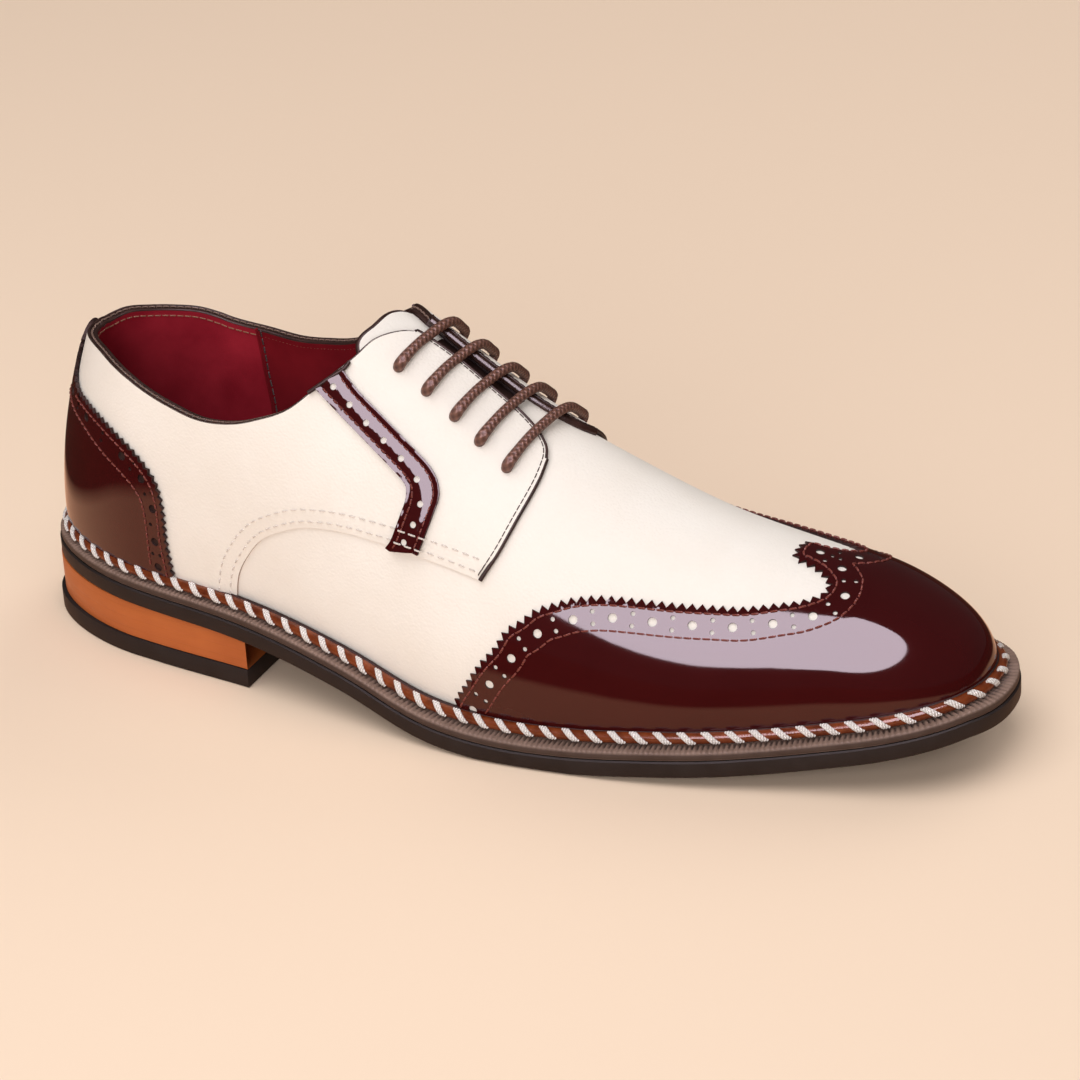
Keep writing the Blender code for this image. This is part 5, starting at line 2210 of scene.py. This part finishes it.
@dataclass
class Studio:
    """Camera, floor and soft lights."""

    position: tuple[float, float, float] = (0.48093, -0.90822, 0.57904)
    yaw: float = -0.467819
    pitch: float = -0.445817
    roll: float = -0.060554
    focal: float = 4082.07
    side: float = 1080.0
    aim: tuple[float, float] = (514.0, 688.0)
    sensor: float = 36.0
    floor_colour: Colour = (0.89, 0.71, 0.56)
    # colours and fade that only glossy rays see: painted reflection of the floor
    painted_near_reflection: Colour = (1.0, 0.55, 0.34)
    painted_far_reflection: Colour = (0.06, 0.03, 0.02)
    surround_colour: Colour = (1.0, 0.93, 0.87)
    footprint: tuple[float, float] = (0.15, 0.045)
    reflection_fade: tuple[float, float] = (0.064, 0.086)
    surround: tuple[float, float] = (0.24, 0.07)

    def camera(self) -> None:
        """Camera at the photograph's place, turned to put the shoe in the middle."""
        away = np.array([
            math.cos(self.pitch) * math.sin(self.yaw),
            math.cos(self.pitch) * math.cos(self.yaw),
            math.sin(self.pitch),
        ])
        level = unit(np.cross(away, (0.0, 0.0, 1.0)))
        rise = np.cross(level, away)
        right = math.cos(self.roll) * level + math.sin(self.roll) * rise
        up = math.cos(self.roll) * rise - math.sin(self.roll) * level
        dx, dy = self.aim[0] - self.side / 2, self.aim[1] - self.side / 2
        look = unit(away * self.focal + right * dx - up * dy)
        right = unit(right - look * np.dot(right, look))
        up = np.cross(right, look)
        data = bpy.data.cameras.new("camera")
        data.sensor_width = self.sensor
        data.lens = self.focal / self.side * self.sensor
        made = bpy.data.objects.new("camera", data)
        bpy.context.scene.collection.objects.link(made)
        turn = Matrix((right, up, -look)).transposed().to_4x4()
        made.matrix_world = Matrix.Translation(self.position) @ turn
        bpy.context.scene.camera = made

    def floor(self) -> None:
        """Pale floor; glossy rays see a painted reflection colour instead, warm near the shoe and dark away from it."""
        bpy.ops.object.select_all(action="DESELECT")
        bpy.ops.mesh.primitive_plane_add(size=12.0, location=(0.0, 0.0, -0.0002))
        floor = bpy.context.object
        floor.name = "floor"
        made, n, shader = Nodes.material("pale_floor")
        spot = n.add("ShaderNodeSeparateXYZ", Vector=n.add("ShaderNodeTexCoord").outputs["Object"])
        past = [
            n.math("MAXIMUM", n.math("SUBTRACT", n.math("ABSOLUTE", spot.outputs[axis]), half), 0.0)
            for axis, half in zip("XY", self.footprint)
        ]
        squares = [n.math("MULTIPLY", far, far) for far in past]
        away = n.math("SQRT", n.math("ADD", *squares))
        front = n.ramp(away, self.reflection_fade[0], self.reflection_fade[1], 0.0, 1.0)
        # painted reflection: glossy rays get a warm colour near the shoe that fades to dark away from it
        glossy = n.add("ShaderNodeLightPath").outputs["Is Glossy Ray"]
        mirrored = n.blend(front, (*self.painted_near_reflection, 1.0), (*self.painted_far_reflection, 1.0))
        shade = n.blend(glossy, (*self.floor_colour, 1.0), mirrored)
        n.fill(shader, Base_Color=shade, Roughness=0.9, Specular_IOR_Level=0.0)
        floor.data.materials.append(made)

    def lights(self) -> None:
        """Soft lights, a panel that only glossy faces see, and a dim surround."""
        for lamp in LAMPS:
            lamp.build()
        world = bpy.data.worlds.new("studio")
        world.use_nodes = True
        n = Nodes(world.node_tree)
        shade = world.node_tree.nodes["Background"]
        glossy = n.add("ShaderNodeLightPath").outputs["Is Glossy Ray"]
        n.fill(shade, Color=(*self.surround_colour, 1.0), Strength=n.ramp(glossy, 0.0, 1.0, *self.surround))
        bpy.context.scene.world = world
        bpy.context.scene.view_settings.view_transform = "Standard"

    def build(self) -> None:
        """Sets up the studio."""
        self.camera()
        self.floor()
        self.lights()


def main() -> None:
    """Builds the shoe's looks in order."""
    logging.basicConfig(level=logging.INFO, format="%(name)s %(message)s")
    last = Last()
    Studio().build()
    for maker in (Lacing(last), Upper(last), Overlays(last), Trim(last), Rand(last), Bottom(last)):
        maker.build()


if __name__ == "__main__":
    main()
